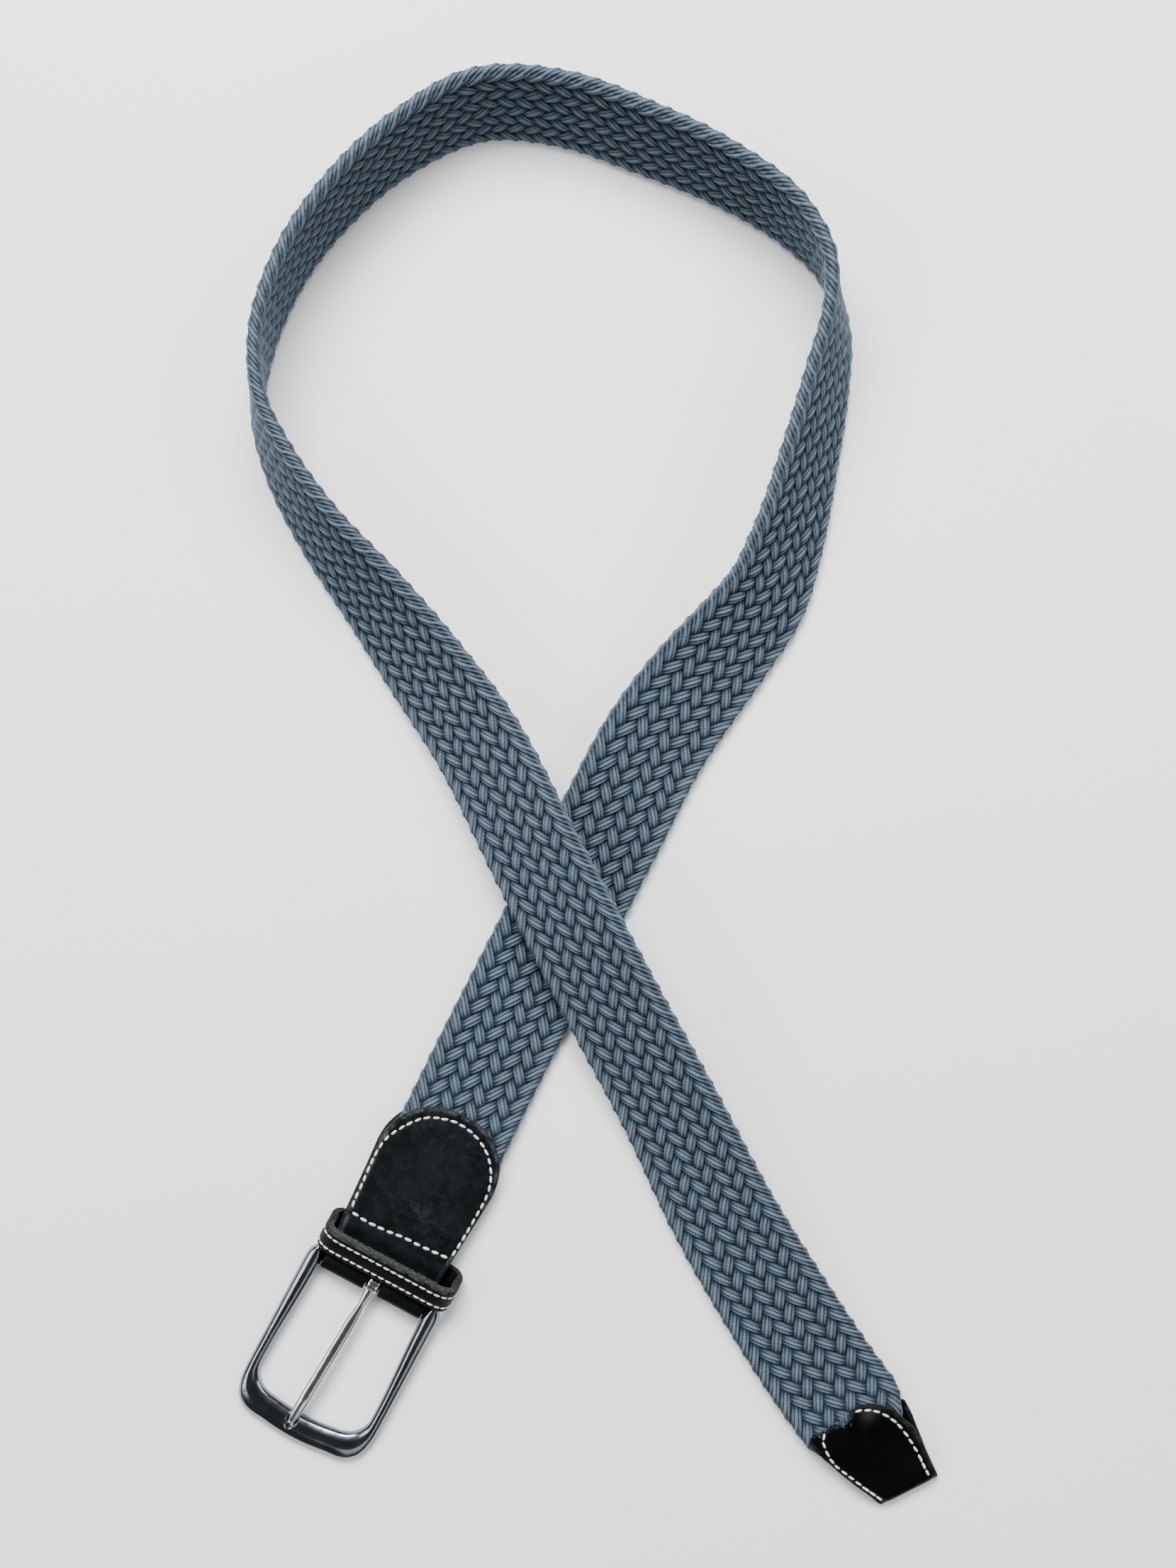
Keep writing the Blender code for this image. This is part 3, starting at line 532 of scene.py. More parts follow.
class Nodes:
    """A node tree and its shader, with a short call for each kind of node that is used here.

    Each call returns the new node's output. A value that is itself an output is linked, and any
    other value is set on the socket.
    """

    def __init__(self, owner, shader="Principled BSDF", **sockets):
        owner.use_nodes = True
        self.owner, self.tree = owner, owner.node_tree
        self.shader = self.tree.nodes[shader]
        for key, value in sockets.items():
            self.put(value, self.shader.inputs[key.replace("_", " ")])

    def put(self, value, socket):
        """Link an output to a socket, or set a number, vector or colour."""
        if isinstance(value, bpy.types.NodeSocket):
            self.tree.links.new(value, socket)
        else:
            socket.default_value = (*value, 1.0) if socket.type == "RGBA" else value

    def set(self, key, value):
        """Give the shader's own socket a value."""
        self.put(value, self.shader.inputs[key])

    def node(self, kind, output=0, inputs=None, **settings):
        node = self.tree.nodes.new(kind)
        for key, value in settings.items():
            setattr(node, key, value)
        for key, value in (inputs or {}).items():
            self.put(value, node.inputs[key])
        return node.outputs[output]

    def parts(self, vector):
        """The three parts of a vector."""
        return self.node("ShaderNodeSeparateXYZ", 0, {0: vector}).node.outputs

    def math(self, operation, first, second=0.0, third=0.0):
        return self.node("ShaderNodeMath", 0, {0: first, 1: second, 2: third}, operation=operation)

    def times(self, first, second):
        return self.math("MULTIPLY", first, second)

    def blend(self, first, share, second):
        """The first value times a share, plus the second."""
        return self.math("MULTIPLY_ADD", first, share, second)

    def wave(self, phase):
        """A sine wave of the phase, from 0 to 1."""
        return self.blend(self.math("SINE", phase), 0.5, 0.5)

    def fade(self, value, low, high, out_low=0.0, out_high=1.0):
        """A smooth rise from one value to another."""
        inputs = {0: value, 1: low, 2: high, 3: out_low, 4: out_high}
        settings = {"interpolation_type": "SMOOTHSTEP", "clamp": True}
        return self.node("ShaderNodeMapRange", 0, inputs, **settings)

    def mix(self, share, first, second):
        """A colour between the first, at a share of 0, and the second, at 1."""
        inputs = {0: share, 6: first, 7: second}
        return self.node("ShaderNodeMix", 2, inputs, data_type="RGBA")

    def noise(self, size, detail=3.0, rough=0.55):
        """Soft noise on the object whose grains are about size wide, from 0 to 1."""
        inputs = {"Vector": self.place(), "Scale": 1.0 / size, "Detail": detail, "Roughness": rough}
        return self.node("ShaderNodeTexNoise", "Fac", inputs)

    def bump(self, height, distance, strength, under=None):
        """A normal bent by a height, over another bump if one is given."""
        inputs = {"Height": height, "Distance": distance, "Strength": strength}
        if under is not None:
            inputs["Normal"] = under
        return self.node("ShaderNodeBump", "Normal", inputs)

    def place(self):
        """The place on the object."""
        return self.node("ShaderNodeTexCoord", "Object")

    def mark(self, name):
        """A mesh's own value at each point."""
        return self.node("ShaderNodeAttribute", "Fac", attribute_name=name)

    def tube(self):
        """The UV map's u, round a tube, and v, the length along it in mm."""
        return self.parts(self.node("ShaderNodeUVMap", "UV", uv_map="UVMap"))[:2]


def braid_material(sizes, looks):
    """Cord yarn: slanting ribs round each cord, with painted shade where a cord dives and between
    its ribs, and a painted highlight on proud crests.
    """
    tree = Nodes(
        bpy.data.materials.new("braid_yarn"),
        Roughness=0.78, Sheen_Weight=0.12, Sheen_Roughness=0.45, Specular_IOR_Level=0.3,
    )
    around, along = tree.tube()
    swing = tree.math("SINE", tree.times(around, 4 * math.pi))
    phase = tree.blend(swing, 0.7, tree.times(along, 2 * math.pi / (sizes.rib_pitch / MM)))
    rib, fuzz = tree.wave(phase), tree.noise(0.35 * MM, 2.0)
    patch, speck = tree.noise(9.0 * MM, 2.0), tree.noise(0.8 * MM, 2.0)
    proud = tree.mark("proud")
    # Painted shade: low cords darken towards the gap colour.
    base = tree.mix(tree.fade(proud, 0.50, 0.90), looks.gap_shade_colour, looks.yarn_colour)
    lit = tree.blend(speck, 1.1, tree.blend(patch, 0.4, rib))
    # Painted highlight on the crests of the ribs of proud cords.
    crest = tree.times(tree.fade(lit, 0.9, 1.75, 0.0, 0.95), tree.fade(proud, 0.62, 0.98))
    base = tree.mix(crest, base, looks.crest_highlight_colour)
    # Painted shade in the valleys between the ribs.
    valley_shade = tree.times(tree.fade(rib, 0.0, 0.5, 0.75, 0.0), tree.fade(speck, 0.35, 0.65))
    tree.set("Base Color", tree.mix(valley_shade, base, looks.gap_shade_colour))
    tree.set("Normal", tree.bump(tree.blend(fuzz, 0.35, rib), 0.12 * MM, 0.8))
    return tree.owner


def leather_material(name, looks, colour, rough, grain, scuff):
    """Leather with pores and nap, patchy tone, paler scuffs, raw cut edges and a painted highlight
    on its rims.

    Rough is its roughness, grain the size of its pores and scuff the strength of the scuffs.
    """
    tree = Nodes(bpy.data.materials.new(name), Specular_IOR_Level=0.05)
    broad, cloud = tree.noise(14.0 * MM, 4.0, 0.6), tree.noise(3.0 * MM, 5.0, 0.7)
    nap, raw = tree.noise(0.35 * MM, 3.0, 0.6), tree.mark("raw")
    inputs = {"Vector": tree.place(), "Scale": 1.0 / grain}
    pores = tree.node("ShaderNodeTexVoronoi", "Distance", inputs)
    tone = tree.fade(tree.blend(cloud, 0.5, broad), 0.55, 1.0, 0.0, 0.3 * scuff)
    base = tree.mix(tone, colour, looks.nubuck_worn)
    spots = tree.fade(tree.blend(cloud, 1.2, nap), 1.05, 1.35, 0.0, scuff)
    base = tree.mix(tree.times(spots, tree.mark("worn")), base, looks.nubuck_worn)
    # The rim mark paints a highlight along the rounded rims, where the bevel catches light.
    rim_highlight = tree.times(tree.mark("rim"), tree.fade(cloud, 0.35, 0.7))
    base = tree.mix(tree.times(rim_highlight, 0.8), base, looks.rim_highlight_colour)
    suede = tree.mix(tree.fade(nap, 0.3, 0.75), looks.raw_dark, looks.raw_pale)
    tree.set("Base Color", tree.mix(raw, base, suede))
    gloss = tree.math("MAXIMUM", tree.blend(cloud, 0.25, rough - 0.12), tree.times(raw, 0.9))
    tree.set("Roughness", gloss)
    grained = tree.bump(nap, 0.06 * MM, 0.6, tree.bump(pores, 0.05 * MM, 0.5))
    tree.set("Normal", tree.bump(broad, 0.5 * MM, 0.35, grained))
    return tree.owner


def thread_material(looks):
    """Waxed two-ply thread: plies slant round it, with painted shade in the grooves between the
    plies and uneven grey soiling.
    """
    tree = Nodes(
        bpy.data.materials.new("saddle_thread"),
        Roughness=0.55, Sheen_Weight=0.2, Specular_IOR_Level=0.4,
    )
    around, along = tree.tube()
    ply = tree.wave(tree.blend(along, 2 * math.pi / PLY_PITCH, tree.times(around, 4 * math.pi)))
    # Random grey soiling, and painted shade in the grooves between the plies.
    shade = tree.blend(tree.noise(1.6 * MM), 0.5, tree.fade(ply, 0.0, 0.5, 0.3, 0.0))
    shade = tree.fade(shade, 0.2, 0.8, 0.0, 0.7)
    tree.set("Base Color", tree.mix(shade, looks.thread_colour, looks.thread_soil_and_shade))
    tree.set("Normal", tree.bump(ply, 0.08 * MM, 0.7))
    return tree.owner


def fray_material(looks):
    """Dull loose fibres, some paler than the yarn."""
    tree = Nodes(bpy.data.materials.new("frayed_yarn"), Roughness=0.9, Specular_IOR_Level=0.1)
    tone = tree.fade(tree.noise(1.2 * MM), 0.35, 0.65)
    tree.set("Base Color", tree.mix(tone, looks.yarn_colour, looks.fray_colour))
    return tree.owner


def metal_material(name, colour, rough, streak):
    """Polished plating: haze in the gloss, streak strong, and tiny dark pits."""
    tree = Nodes(bpy.data.materials.new(name), Metallic=1.0)
    haze, pits = tree.noise(5.0 * MM), tree.noise(0.5 * MM, 4.0, 0.7)
    tree.set("Roughness", tree.blend(haze, streak, rough - 0.4 * streak))
    dark = [0.55 * c for c in colour]
    tree.set("Base Color", tree.mix(tree.fade(pits, 0.55, 0.75, 0.0, 0.35), colour, dark))
    tree.set("Normal", tree.bump(haze, 0.4 * MM, 0.25, tree.bump(pits, 0.03 * MM, 0.25)))
    return tree.owner


def cord_paths(sizes, distance):
    """Every cord's middle line in the flat strap, and the direction in which it is tall.

    The place of a strand is its crossing number, which is how many strands lie between it and
    the left edge: it falls to 0 there and rises to the number of strands at the right edge.
    Between the edges the height swings as a rounded square wave that holds over two crossings
    and under two, opposite for strands that run the other way, and stays level from turn_in
    crossings off an edge. At the edge the strand goes down round a half circle. A strand's
    three cords follow each other by their pitch, closer where they dive, and the middle one
    stands a little proud. They dive along the side of the strand that they pass under, so a
    side cord's wave is shifted by its share of the spacing. Stations gather at the dives and at
    the turns, where the cords are also less tall.
    """
    strands, column, wrap = sizes.strands, sizes.column, sizes.layer_rise
    turn_in = 1.5
    spacing = sizes.repeat / strands
    edge_half = (1 - sizes.edge_slim) * sizes.cord_height / 2
    flat_half = STRAP_WIDTH / 2 - edge_half - wrap - sizes.middle_rise
    edge_run = strands / 2 - flat_half / column
    cord_lag = sizes.cord_pitch / math.sin(math.atan(2 * column / spacing))

    def crossing(along):
        passed = (2 * along / spacing) % (2 * strands)
        number, way = np.abs(strands - passed), np.sign(passed - strands)
        return number, way, number + way * cord * cord_lag / spacing

    def swing(number):
        level = np.cos(math.pi / 2 * (np.clip(number, turn_in, strands - turn_in) - turn_in))
        return np.sign(level) * np.abs(level) ** sizes.squareness

    strand = np.repeat(np.arange(strands), 3)[:, None]
    cord = np.tile(np.arange(3) - 1, strands)[:, None]
    along = distance[None, :] - strand * spacing
    number, way, dive = crossing(along - cord * cord_lag)
    nearest = np.minimum(number, strands - number)
    turn = np.where(number < strands / 2, way, -way) * nearest / turn_in
    inside = np.abs(dive - strands / 2) < strands / 2 - turn_in
    gather = way * np.sin(math.pi * (dive - 0.5)) * inside
    gather = gather + 1.35 * np.sin(math.pi * turn) * (np.abs(turn) < 1.0)
    gather = -sizes.gather / math.pi * gather * spacing / 2
    gather[:, [0, -1]] = 0.0
    distance = distance[None, :] + gather
    along = along + gather
    grip = np.abs(swing(crossing(along - cord * cord_lag)[2]))
    lag = cord_lag * (sizes.dive_pinch + (1 - sizes.dive_pinch) * grip)
    number, way, dive = crossing(along - cord * lag)
    side = np.where(number < strands / 2, 1.0, -1.0)
    nearest = np.minimum(number, strands - number)
    angle = side * way * math.pi / 2 * np.clip(nearest / edge_run, 0.0, 1.0)
    rise = wrap + sizes.middle_rise * (cord == 0)
    at_edge = nearest < edge_run
    inner = (strands / 2 - number) * column
    across = np.where(at_edge, side * (flat_half + rise * np.cos(angle)), inner)
    height = np.where(at_edge, -rise * np.sin(angle), -way * rise * swing(dive))
    rng, sway_length = np.random.default_rng(17), 11 * MM
    sway = rng.uniform(0, 2 * math.pi, (2, strands * 3, 1))
    pace = rng.uniform(0.7, 1.3, (2, strands * 3, 1)) * 2 * math.pi / sway_length
    across = across + sizes.unevenness * np.sin(pace[0] * distance + sway[0])
    height = height + 0.6 * sizes.unevenness * np.sin(pace[1] * distance + sway[1])
    middle = np.stack([distance, across, height], axis=-1)
    tall = np.stack([0.0 * across, np.cos(angle), -side * np.sin(angle)], axis=-1)
    slim = 1 - sizes.edge_slim * np.cos(angle) * at_edge
    return middle, tall, slim


def cord_rings(sizes, middle, tall, slim):
    """Rings round the cords: half the width across, times the cosine, and half the height up,
    times the sine, square to the path."""
    tangent = unit(np.gradient(middle, axis=1))
    tall = unit(tall - np.sum(tall * tangent, axis=-1, keepdims=True) * tangent)
    wide = np.cross(tangent, tall)
    turn = turns(sizes.cord_sides) + math.pi / 2
    wide_part = sizes.cord_width / 2 * np.cos(turn)[:, None] * wide[:, :, None]
    tall_part = sizes.cord_height / 2 * np.sin(turn)[:, None] * tall[:, :, None]
    return middle[:, :, None] + wide_part + tall_part * slim[:, :, None, None]


def braid_inside(sizes, stations=480, sides=20):
    """Rings of a thin flat ellipse along the strap's middle, hidden by the cords that cross it: a
    sheet of painted shade inside the braid, in the gap colour, which also stops light between the
    cords."""
    run = np.linspace(STRAP.start + MM, STRAP.end - MM, stations)[:, None]
    turn = turns(sides)
    across = (STRAP_WIDTH / 2 - sizes.cord_height - sizes.layer_rise) * np.cos(turn)
    flat = np.broadcast_arrays(run, across, 0.3 * MM * np.sin(turn))
    return STRAP.carry(np.stack(flat, axis=-1))[None]


class BELT_OT_braid(bpy.types.Operator):
    """Weave the flat braid: strands of three cords, over two and under two, carried along the
    belt's route in a few pieces."""

    bl_idname = "belt.braid"
    bl_label = "Weave the braid"

    def execute(self, context):
        sizes, looks = context.scene.belt_braid, context.scene.belt_looks
        material = braid_material(sizes, looks)
        step = sizes.repeat / sizes.strands / CORD_STATIONS
        distance = np.append(np.arange(STRAP.start, STRAP.end, step), STRAP.end)
        middle, tall, slim = cord_paths(sizes, distance)
        rings = cord_rings(sizes, middle, tall, slim)
        along = run_along(middle) / MM
        half = STRAP_WIDTH / 2
        # The proud mark sets the braid's painted shade and painted highlight: low cords take the
        # painted shade, and the cords round the edges are kept out of it.
        edge = (np.abs(rings[..., 1]) - 0.86 * half) / (0.14 * half)
        proud = np.maximum(np.abs(rings[..., 2]) / (STRAP_THICK / 2), edge)
        world = STRAP.carry(rings)
        world[..., 2] = np.maximum(world[..., 2], 0.0)
        groups = np.array_split(np.arange(len(world)), sizes.pieces)
        for number, group in enumerate(groups, start=1):
            marks = {"proud": np.clip(proud[group], 0.0, 1.0)}
            mesh = tube_mesh(f"braid_strands_{number}", world[group], along[group], marks)
            add_piece(mesh, material, "belt", "braided_strap")
        # A sheet of painted shade inside the braid, all in the gap colour.
        inside = braid_inside(sizes)
        mesh = tube_mesh("braid_inside", inside, marks={"proud": np.zeros(inside.shape[:3])})
        add_piece(mesh, material, "belt", "braided_strap")
        return {"FINISHED"}


def layer_mesh(name, edges, top, bottom, rim, band, place, marks=None, edge_wear_and_highlight=1.0):
    """A leather layer between two height functions, with a rounded rim along its outline.

    The edges are the outline and matching points on the middle line. Rows step inwards: first
    round a quarter circle of radius rim, then across the sewn band, then on to the middle.
    Heights are functions of the place along and the place across. Marks add to the material's
    "rim" (a painted highlight), "raw" and "worn" as functions of the place and height, and the
    last argument scales the painted highlight on every rim and the wear of every cut edge.
    """
    outline, centre = edges
    step = unit(np.roll(outline, -1, axis=0) - np.roll(outline, 1, axis=0))
    inward = centre - outline
    reach = np.linalg.norm(inward, axis=1)
    inward = inward / np.maximum(reach, 1e-9)[:, None]
    slant = np.abs(step[:, 0] * inward[:, 1] - step[:, 1] * inward[:, 0])
    slant = np.clip(slant, 0.4, 1.0)
    rim = np.broadcast_to(rim, reach.shape)
    band = np.minimum(band, 0.8 * reach * slant)
    turn = np.linspace(0.0, math.pi / 2, RIM_ROWS)[:, None]
    rim_rows = np.minimum(rim, 0.6 * band) * (1 - np.cos(turn))
    band_rows = rim_rows[-1] + (band - rim_rows[-1]) * np.linspace(0.0, 1.0, BAND_ROWS)[1:, None]
    inner = np.linspace(0.0, 1.0, INNER_ROWS)[1:, None]
    inner_rows = band + (reach * slant - band) * inner
    edge = np.vstack([rim_rows, band_rows, inner_rows])
    places = outline[None] + inward[None] * (edge / slant)[..., None]
    places[-1] = centre
    drop = np.zeros_like(edge)
    drop[: len(turn)] = rim * (1 - np.sin(turn))
    high = top(places[..., 0], places[..., 1]) - drop
    low = bottom(places[..., 0], places[..., 1]) + drop
    along = np.concatenate([places[::-1, :, 0], places[..., 0]])
    across = np.concatenate([places[::-1, :, 1], places[..., 1]])
    height = np.concatenate([low[::-1], high])
    cut = np.abs(np.arange(len(along)) - len(edge) + 0.5) < RAW_ROWS / 2
    # Painted highlight along the rounded rim, where the bevel catches light.
    rim_highlight = edge_wear_and_highlight * hump(edge - 0.8 * MM, 0.5 * MM)
    values = {
        "rim": np.concatenate([0.0 * edge[::-1], rim_highlight]),
        "raw": np.broadcast_to(cut[:, None], along.shape) * 0.5 * edge_wear_and_highlight,
        "worn": np.zeros_like(along),
    }
    for key, value in (marks or {}).items():
        values[key] = np.maximum(values[key], value(along, across, height))
    points, quads = place(along, across, height), grid_quads(*along.shape)
    return make_mesh(name, points, quads, marks=values, merge=True)


def tab_half_width(distance):
    """Half width of the buckle's leather: a neck, full width, then an arched end."""
    straight = TAB_LENGTH - TAB_ARCH
    rows = [0.3 * TAB_NECK, 0.6 * TAB_NECK, straight]
    widths = [ROLL_WIDTH, TAB_NECK_WIDTH, TAB_WIDTH]
    return np.interp(distance, rows, widths) / 2


def tab_edges(left_inset, right_inset):
    """The tab's edge: up the right side, round the arch (a superellipse of power 2.2), and
    down the left side; with the middle line's matching points."""
    straight, power = TAB_LENGTH - TAB_ARCH, 2 / 2.2
    side = np.linspace(4.0 * MM, straight, 96)[:-1]
    turn = np.linspace(0.0, math.pi / 2, 60)
    along = np.r_[side, straight + TAB_ARCH * np.sin(turn) ** power]
    half = np.r_[tab_half_width(side), TAB_WIDTH / 2 * np.cos(turn) ** power]
    along = np.r_[along, along[::-1][1:]]
    across = np.r_[-half, half[::-1][1:]]
    across = across - left_inset * ease(across / (0.5 * TAB_WIDTH))
    across = across + right_inset * ease(-across / (0.5 * TAB_WIDTH))
    middle = np.where(along < straight, along, straight + 0.72 * (along - straight))
    return np.stack([along, across], axis=1), np.stack([middle, 0.0 * middle], axis=1)


def seam_line(rows):
    """A smooth line of (along, across) through a table's rows, with SEAM_STEPS for each."""
    return smooth_curve(np.array(rows) * MM, SEAM_STEPS)[:, ::-1]


def tab_groove(along, across, leather):
    """Depth of the grooves in which the tab's stitches lie."""
    gap = line_gap(along, across, [seam_line(TAB_SEAM), seam_line(TAB_ROW)])
    return leather.groove_depth * hump(gap, 0.6 * MM)


def past_strap(across):
    """A rise from 0 over the strap to 1 outside its edges."""
    return ease((np.abs(across) - (STRAP_WIDTH / 2 - 0.5 * MM)) / (3.0 * MM))


def past_neck(along):
    """A rise from 0 in the tab's neck to 1 beyond it."""
    return ease((along - TAB_NECK) / (6 * MM))


def tab_top(along, across, leather):
    """The upper layer's top: low in the neck, then a soft fold and the full height over the
    strap, a little crowned and uneven, and falling at the sides outside the strap."""
    neck = 2 * (LEATHER + GAP) + KEEPER_THICK - GAP
    top = neck + (TAB_TOP - neck) * ease((along - 0.86 * TAB_NECK) / (0.3 * TAB_NECK))
    crown, fold, uneven = 0.35 * MM, 0.75 * MM, 0.07 * MM
    top = top + crown * (1 - (across / (TAB_WIDTH / 2)) ** 2) * past_neck(along)
    top = top + fold * hump(along - 13.0 * MM, 2.4 * MM)
    top = top - leather.pinch * past_strap(across) * past_neck(along)
    return top + uneven * ripple(along, across, seed=3, size=9 * MM)


def tab_bottom(along, across):
    """The lower layer's underside: above the keeper in the neck, then just off the floor, with
    sides that curl up."""
    low = (KEEPER_THICK + GAP) * (1 - ease((along - 0.98 * TAB_NECK) / (0.42 * TAB_NECK)))
    curl = 0.8 * MM
    return np.maximum(low, FLOOR_GAP) + curl * past_strap(across) * past_neck(along)


def roll_rings():
    """The leather round the bar: a sheet's rounded section, swept from the upper layer round
    the bar's middle to the lower layer, once on each side of the prong's slot."""
    radius = BAR_RADIUS + GAP + LEATHER / 2
    upper, lower = BAR_HEIGHT + LEATHER / 2, BAR_HEIGHT - LEATHER / 2
    turn = np.linspace(0.42 * math.pi, 1.58 * math.pi, 36)
    arc = np.stack([radius * np.cos(turn), BAR_HEIGHT + radius * np.sin(turn)], 1)
    lead = np.array([[7.5 * MM, upper], [5.2 * MM, upper], [3.4 * MM, upper + 0.7 * MM]])
    tail = np.array([[3.4 * MM, lower - 0.7 * MM], [5.2 * MM, lower], [7.5 * MM, lower]])
    path = spread(np.vstack([lead, arc, tail]), 64)
    path[2:-2] = (path[:-4] + 2 * path[1:-3] + 3 * path[2:-2] + 2 * path[3:-1] + path[4:]) / 9
    tangent = unit(np.gradient(path, axis=0))
    outward = np.stack([tangent[:, 1], -tangent[:, 0]], 1)
    slot = PRONG_EYE_WIDTH / 2 + GAP
    tubes = []
    for side in (-1, 1):
        low, high = sorted((side * slot, side * ROLL_WIDTH / 2))
        span, rim = high - low, 0.55 * MM
        angle = np.radians(np.arange(0, 360, 15) + 7.5)
        x = np.sign(np.cos(angle)) * (span / 2 - rim) + rim * np.cos(angle)
        y = np.sign(np.sin(angle)) * (LEATHER / 2 - rim) + rim * np.sin(angle)
        across = (low + high) / 2 + x
        places = path[:, None] + outward[:, None] * y[None, :, None]
        tubes.append((places[..., 0], np.broadcast_to(across, places.shape[:2]), places[..., 1]))
    along, across, height = (np.stack(parts) for parts in zip(*tubes))
    return SPINE.place(along, across, height)


class BELT_OT_buckle_tab(bpy.types.Operator):
    """Lay the nubuck tab: an upper and a lower layer over the strap's end, and the roll that
    holds the buckle's bar."""

    bl_idname = "belt.buckle_tab"
    bl_label = "Lay the buckle's leather"

    def execute(self, context):
        leather, looks = context.scene.belt_leather, context.scene.belt_looks
        material = leather_material(
            "nubuck", looks, looks.nubuck_colour, rough=0.62, grain=0.45 * MM, scuff=0.55
        )

        def upper_top(along, across):
            return tab_top(along, across, leather) - tab_groove(along, across, leather)

        def upper_bottom(along, across):
            thick = LEATHER * 0.98 + leather.pinch * past_strap(across) * 0.1
            return tab_top(along, across, leather) - thick

        def lower_top(along, across):
            return tab_bottom(along, across) + LEATHER

        def lower_bottom(along, across):
            return tab_bottom(along, across) + tab_groove(along, across, leather)

        def scuffed(along, across, height):
            low = hump(along - 26 * MM, 6 * MM) * hump(across + 2 * MM, 9 * MM)
            return 0.25 + 0.75 * low + 0.35 * hump(along - 51 * MM, 4 * MM)

        for name, inset, top, bottom, marks in (
            ("tab_upper", leather.layer_step, upper_top, upper_bottom, {"worn": scuffed}),
            ("tab_lower", 0.0, lower_top, lower_bottom, {}),
        ):
            edges, rim, band = tab_edges(inset, leather.right_inset), 0.72 * MM, 5.0 * MM
            mesh = layer_mesh(name, edges, top, bottom, rim, band, SPINE.place, marks)
            add_piece(mesh, material, "belt", "buckle_tab")

        rings = roll_rings()
        marks = dict.fromkeys(("rim", "raw", "worn"), np.zeros(rings.shape[:3]))
        smooth = leather_material(
            "roll_leather", looks, looks.nubuck_colour, rough=0.42, grain=0.6 * MM, scuff=0.25
        )
        roll = tube_mesh("tab_roll", rings, marks=marks)
        add_piece(roll, smooth, "belt", "buckle_tab")
        return {"FINISHED"}


def keeper_path():
    """The middle of the keeper's band: a flattened ring whose head leans to the buckle.

    Returns places (along, across, height) and, square to the ring, the directions across the
    band's width and out of its face.
    """
    foot, head = (KEEPER_FOOT, KEEPER_THICK / 2), (KEEPER_HEAD, KEEPER_HEAD_HEIGHT)
    low_bend, high_bend = 1.15 * KEEPER_THICK, 2.0 * KEEPER_THICK
    side = KEEPER_SPAN / 2 - KEEPER_THICK / 2
    ring = []
    for bend, level, low, high in (
        (low_bend, foot[1] + low_bend, -90, 0),
        (high_bend, head[1] - high_bend, 0, 90),
    ):
        turn = np.radians(np.linspace(low, high, 24))
        ring.append(np.stack([side - bend + bend * np.cos(turn), level + bend * np.sin(turn)], 1))
    ring = np.vstack(ring)
    ring = np.vstack([ring, ring[::-1] * (-1, 1)])
    ring = smooth_loop(ring, KEEPER_STATIONS, 0.4 * MM)
    rise = np.sin(np.clip((ring[:, 1] - foot[1]) / (head[1] - foot[1]), 0, 1) * math.pi / 2)
    middle = np.stack([foot[0] + (head[0] - foot[0]) * rise, ring[:, 0], ring[:, 1]], 1)
    tangent = unit(np.roll(middle, -1, axis=0) - np.roll(middle, 1, axis=0))
    tilt = KEEPER_TILT * rise
    wide = np.stack([np.cos(tilt), np.zeros_like(tilt), np.sin(tilt)], 1)
    wide = unit(wide - np.sum(wide * tangent, axis=1, keepdims=True) * tangent)
    outward = np.cross(tangent, wide)
    outward *= np.sign(np.sum(outward * (middle - middle.mean(axis=0)), axis=1))[:, None]
    return middle, wide, outward


def keeper_section(leather):
    """The band's section: a rectangle with rounded corners whose outer face has two grooves."""
    half, thick, rim = KEEPER_WIDTH / 2, KEEPER_THICK / 2, 0.6 * MM
    turn = np.radians(np.linspace(0, 90, 5))
    bend = rim * np.stack([np.cos(turn), np.sin(turn)], 1)
    corner = np.array([half - rim, thick - rim])
    face = np.linspace(half - rim, -half + rim, 44)[1:-1]
    row = leather.keeper_rows / 2
    grooves = hump(face - row, 0.7 * MM) + hump(face + row, 0.7 * MM)
    outer = thick - 0.4 * leather.groove_depth * grooves
    outer += 0.18 * MM * (1 - (face / half) ** 2)
    wall = np.linspace(-thick + rim, thick - rim, 9)[1:-1]
    parts = [
        np.stack([np.full_like(wall, half), wall], 1),
        corner + bend,
        np.stack([face, outer], 1),
        corner * (-1, 1) + bend[:, ::-1] * (-1, 1),
        np.stack([np.full_like(wall, -half), wall[::-1]], 1),
        -corner - bend,
        corner * (1, -1) + bend[:, ::-1] * (1, -1),
    ]
    return np.vstack(parts)


def keeper_place(middle, wide, outward, x, y):
    """World points of the band's place across (x) and out of its face (y) on its ring."""
    local = middle + wide * np.asarray(x)[..., None] + outward * np.asarray(y)[..., None]
    return SPINE.place(local[..., 0], local[..., 1] - KEEPER_SHIFT, np.maximum(local[..., 2], 0.0))


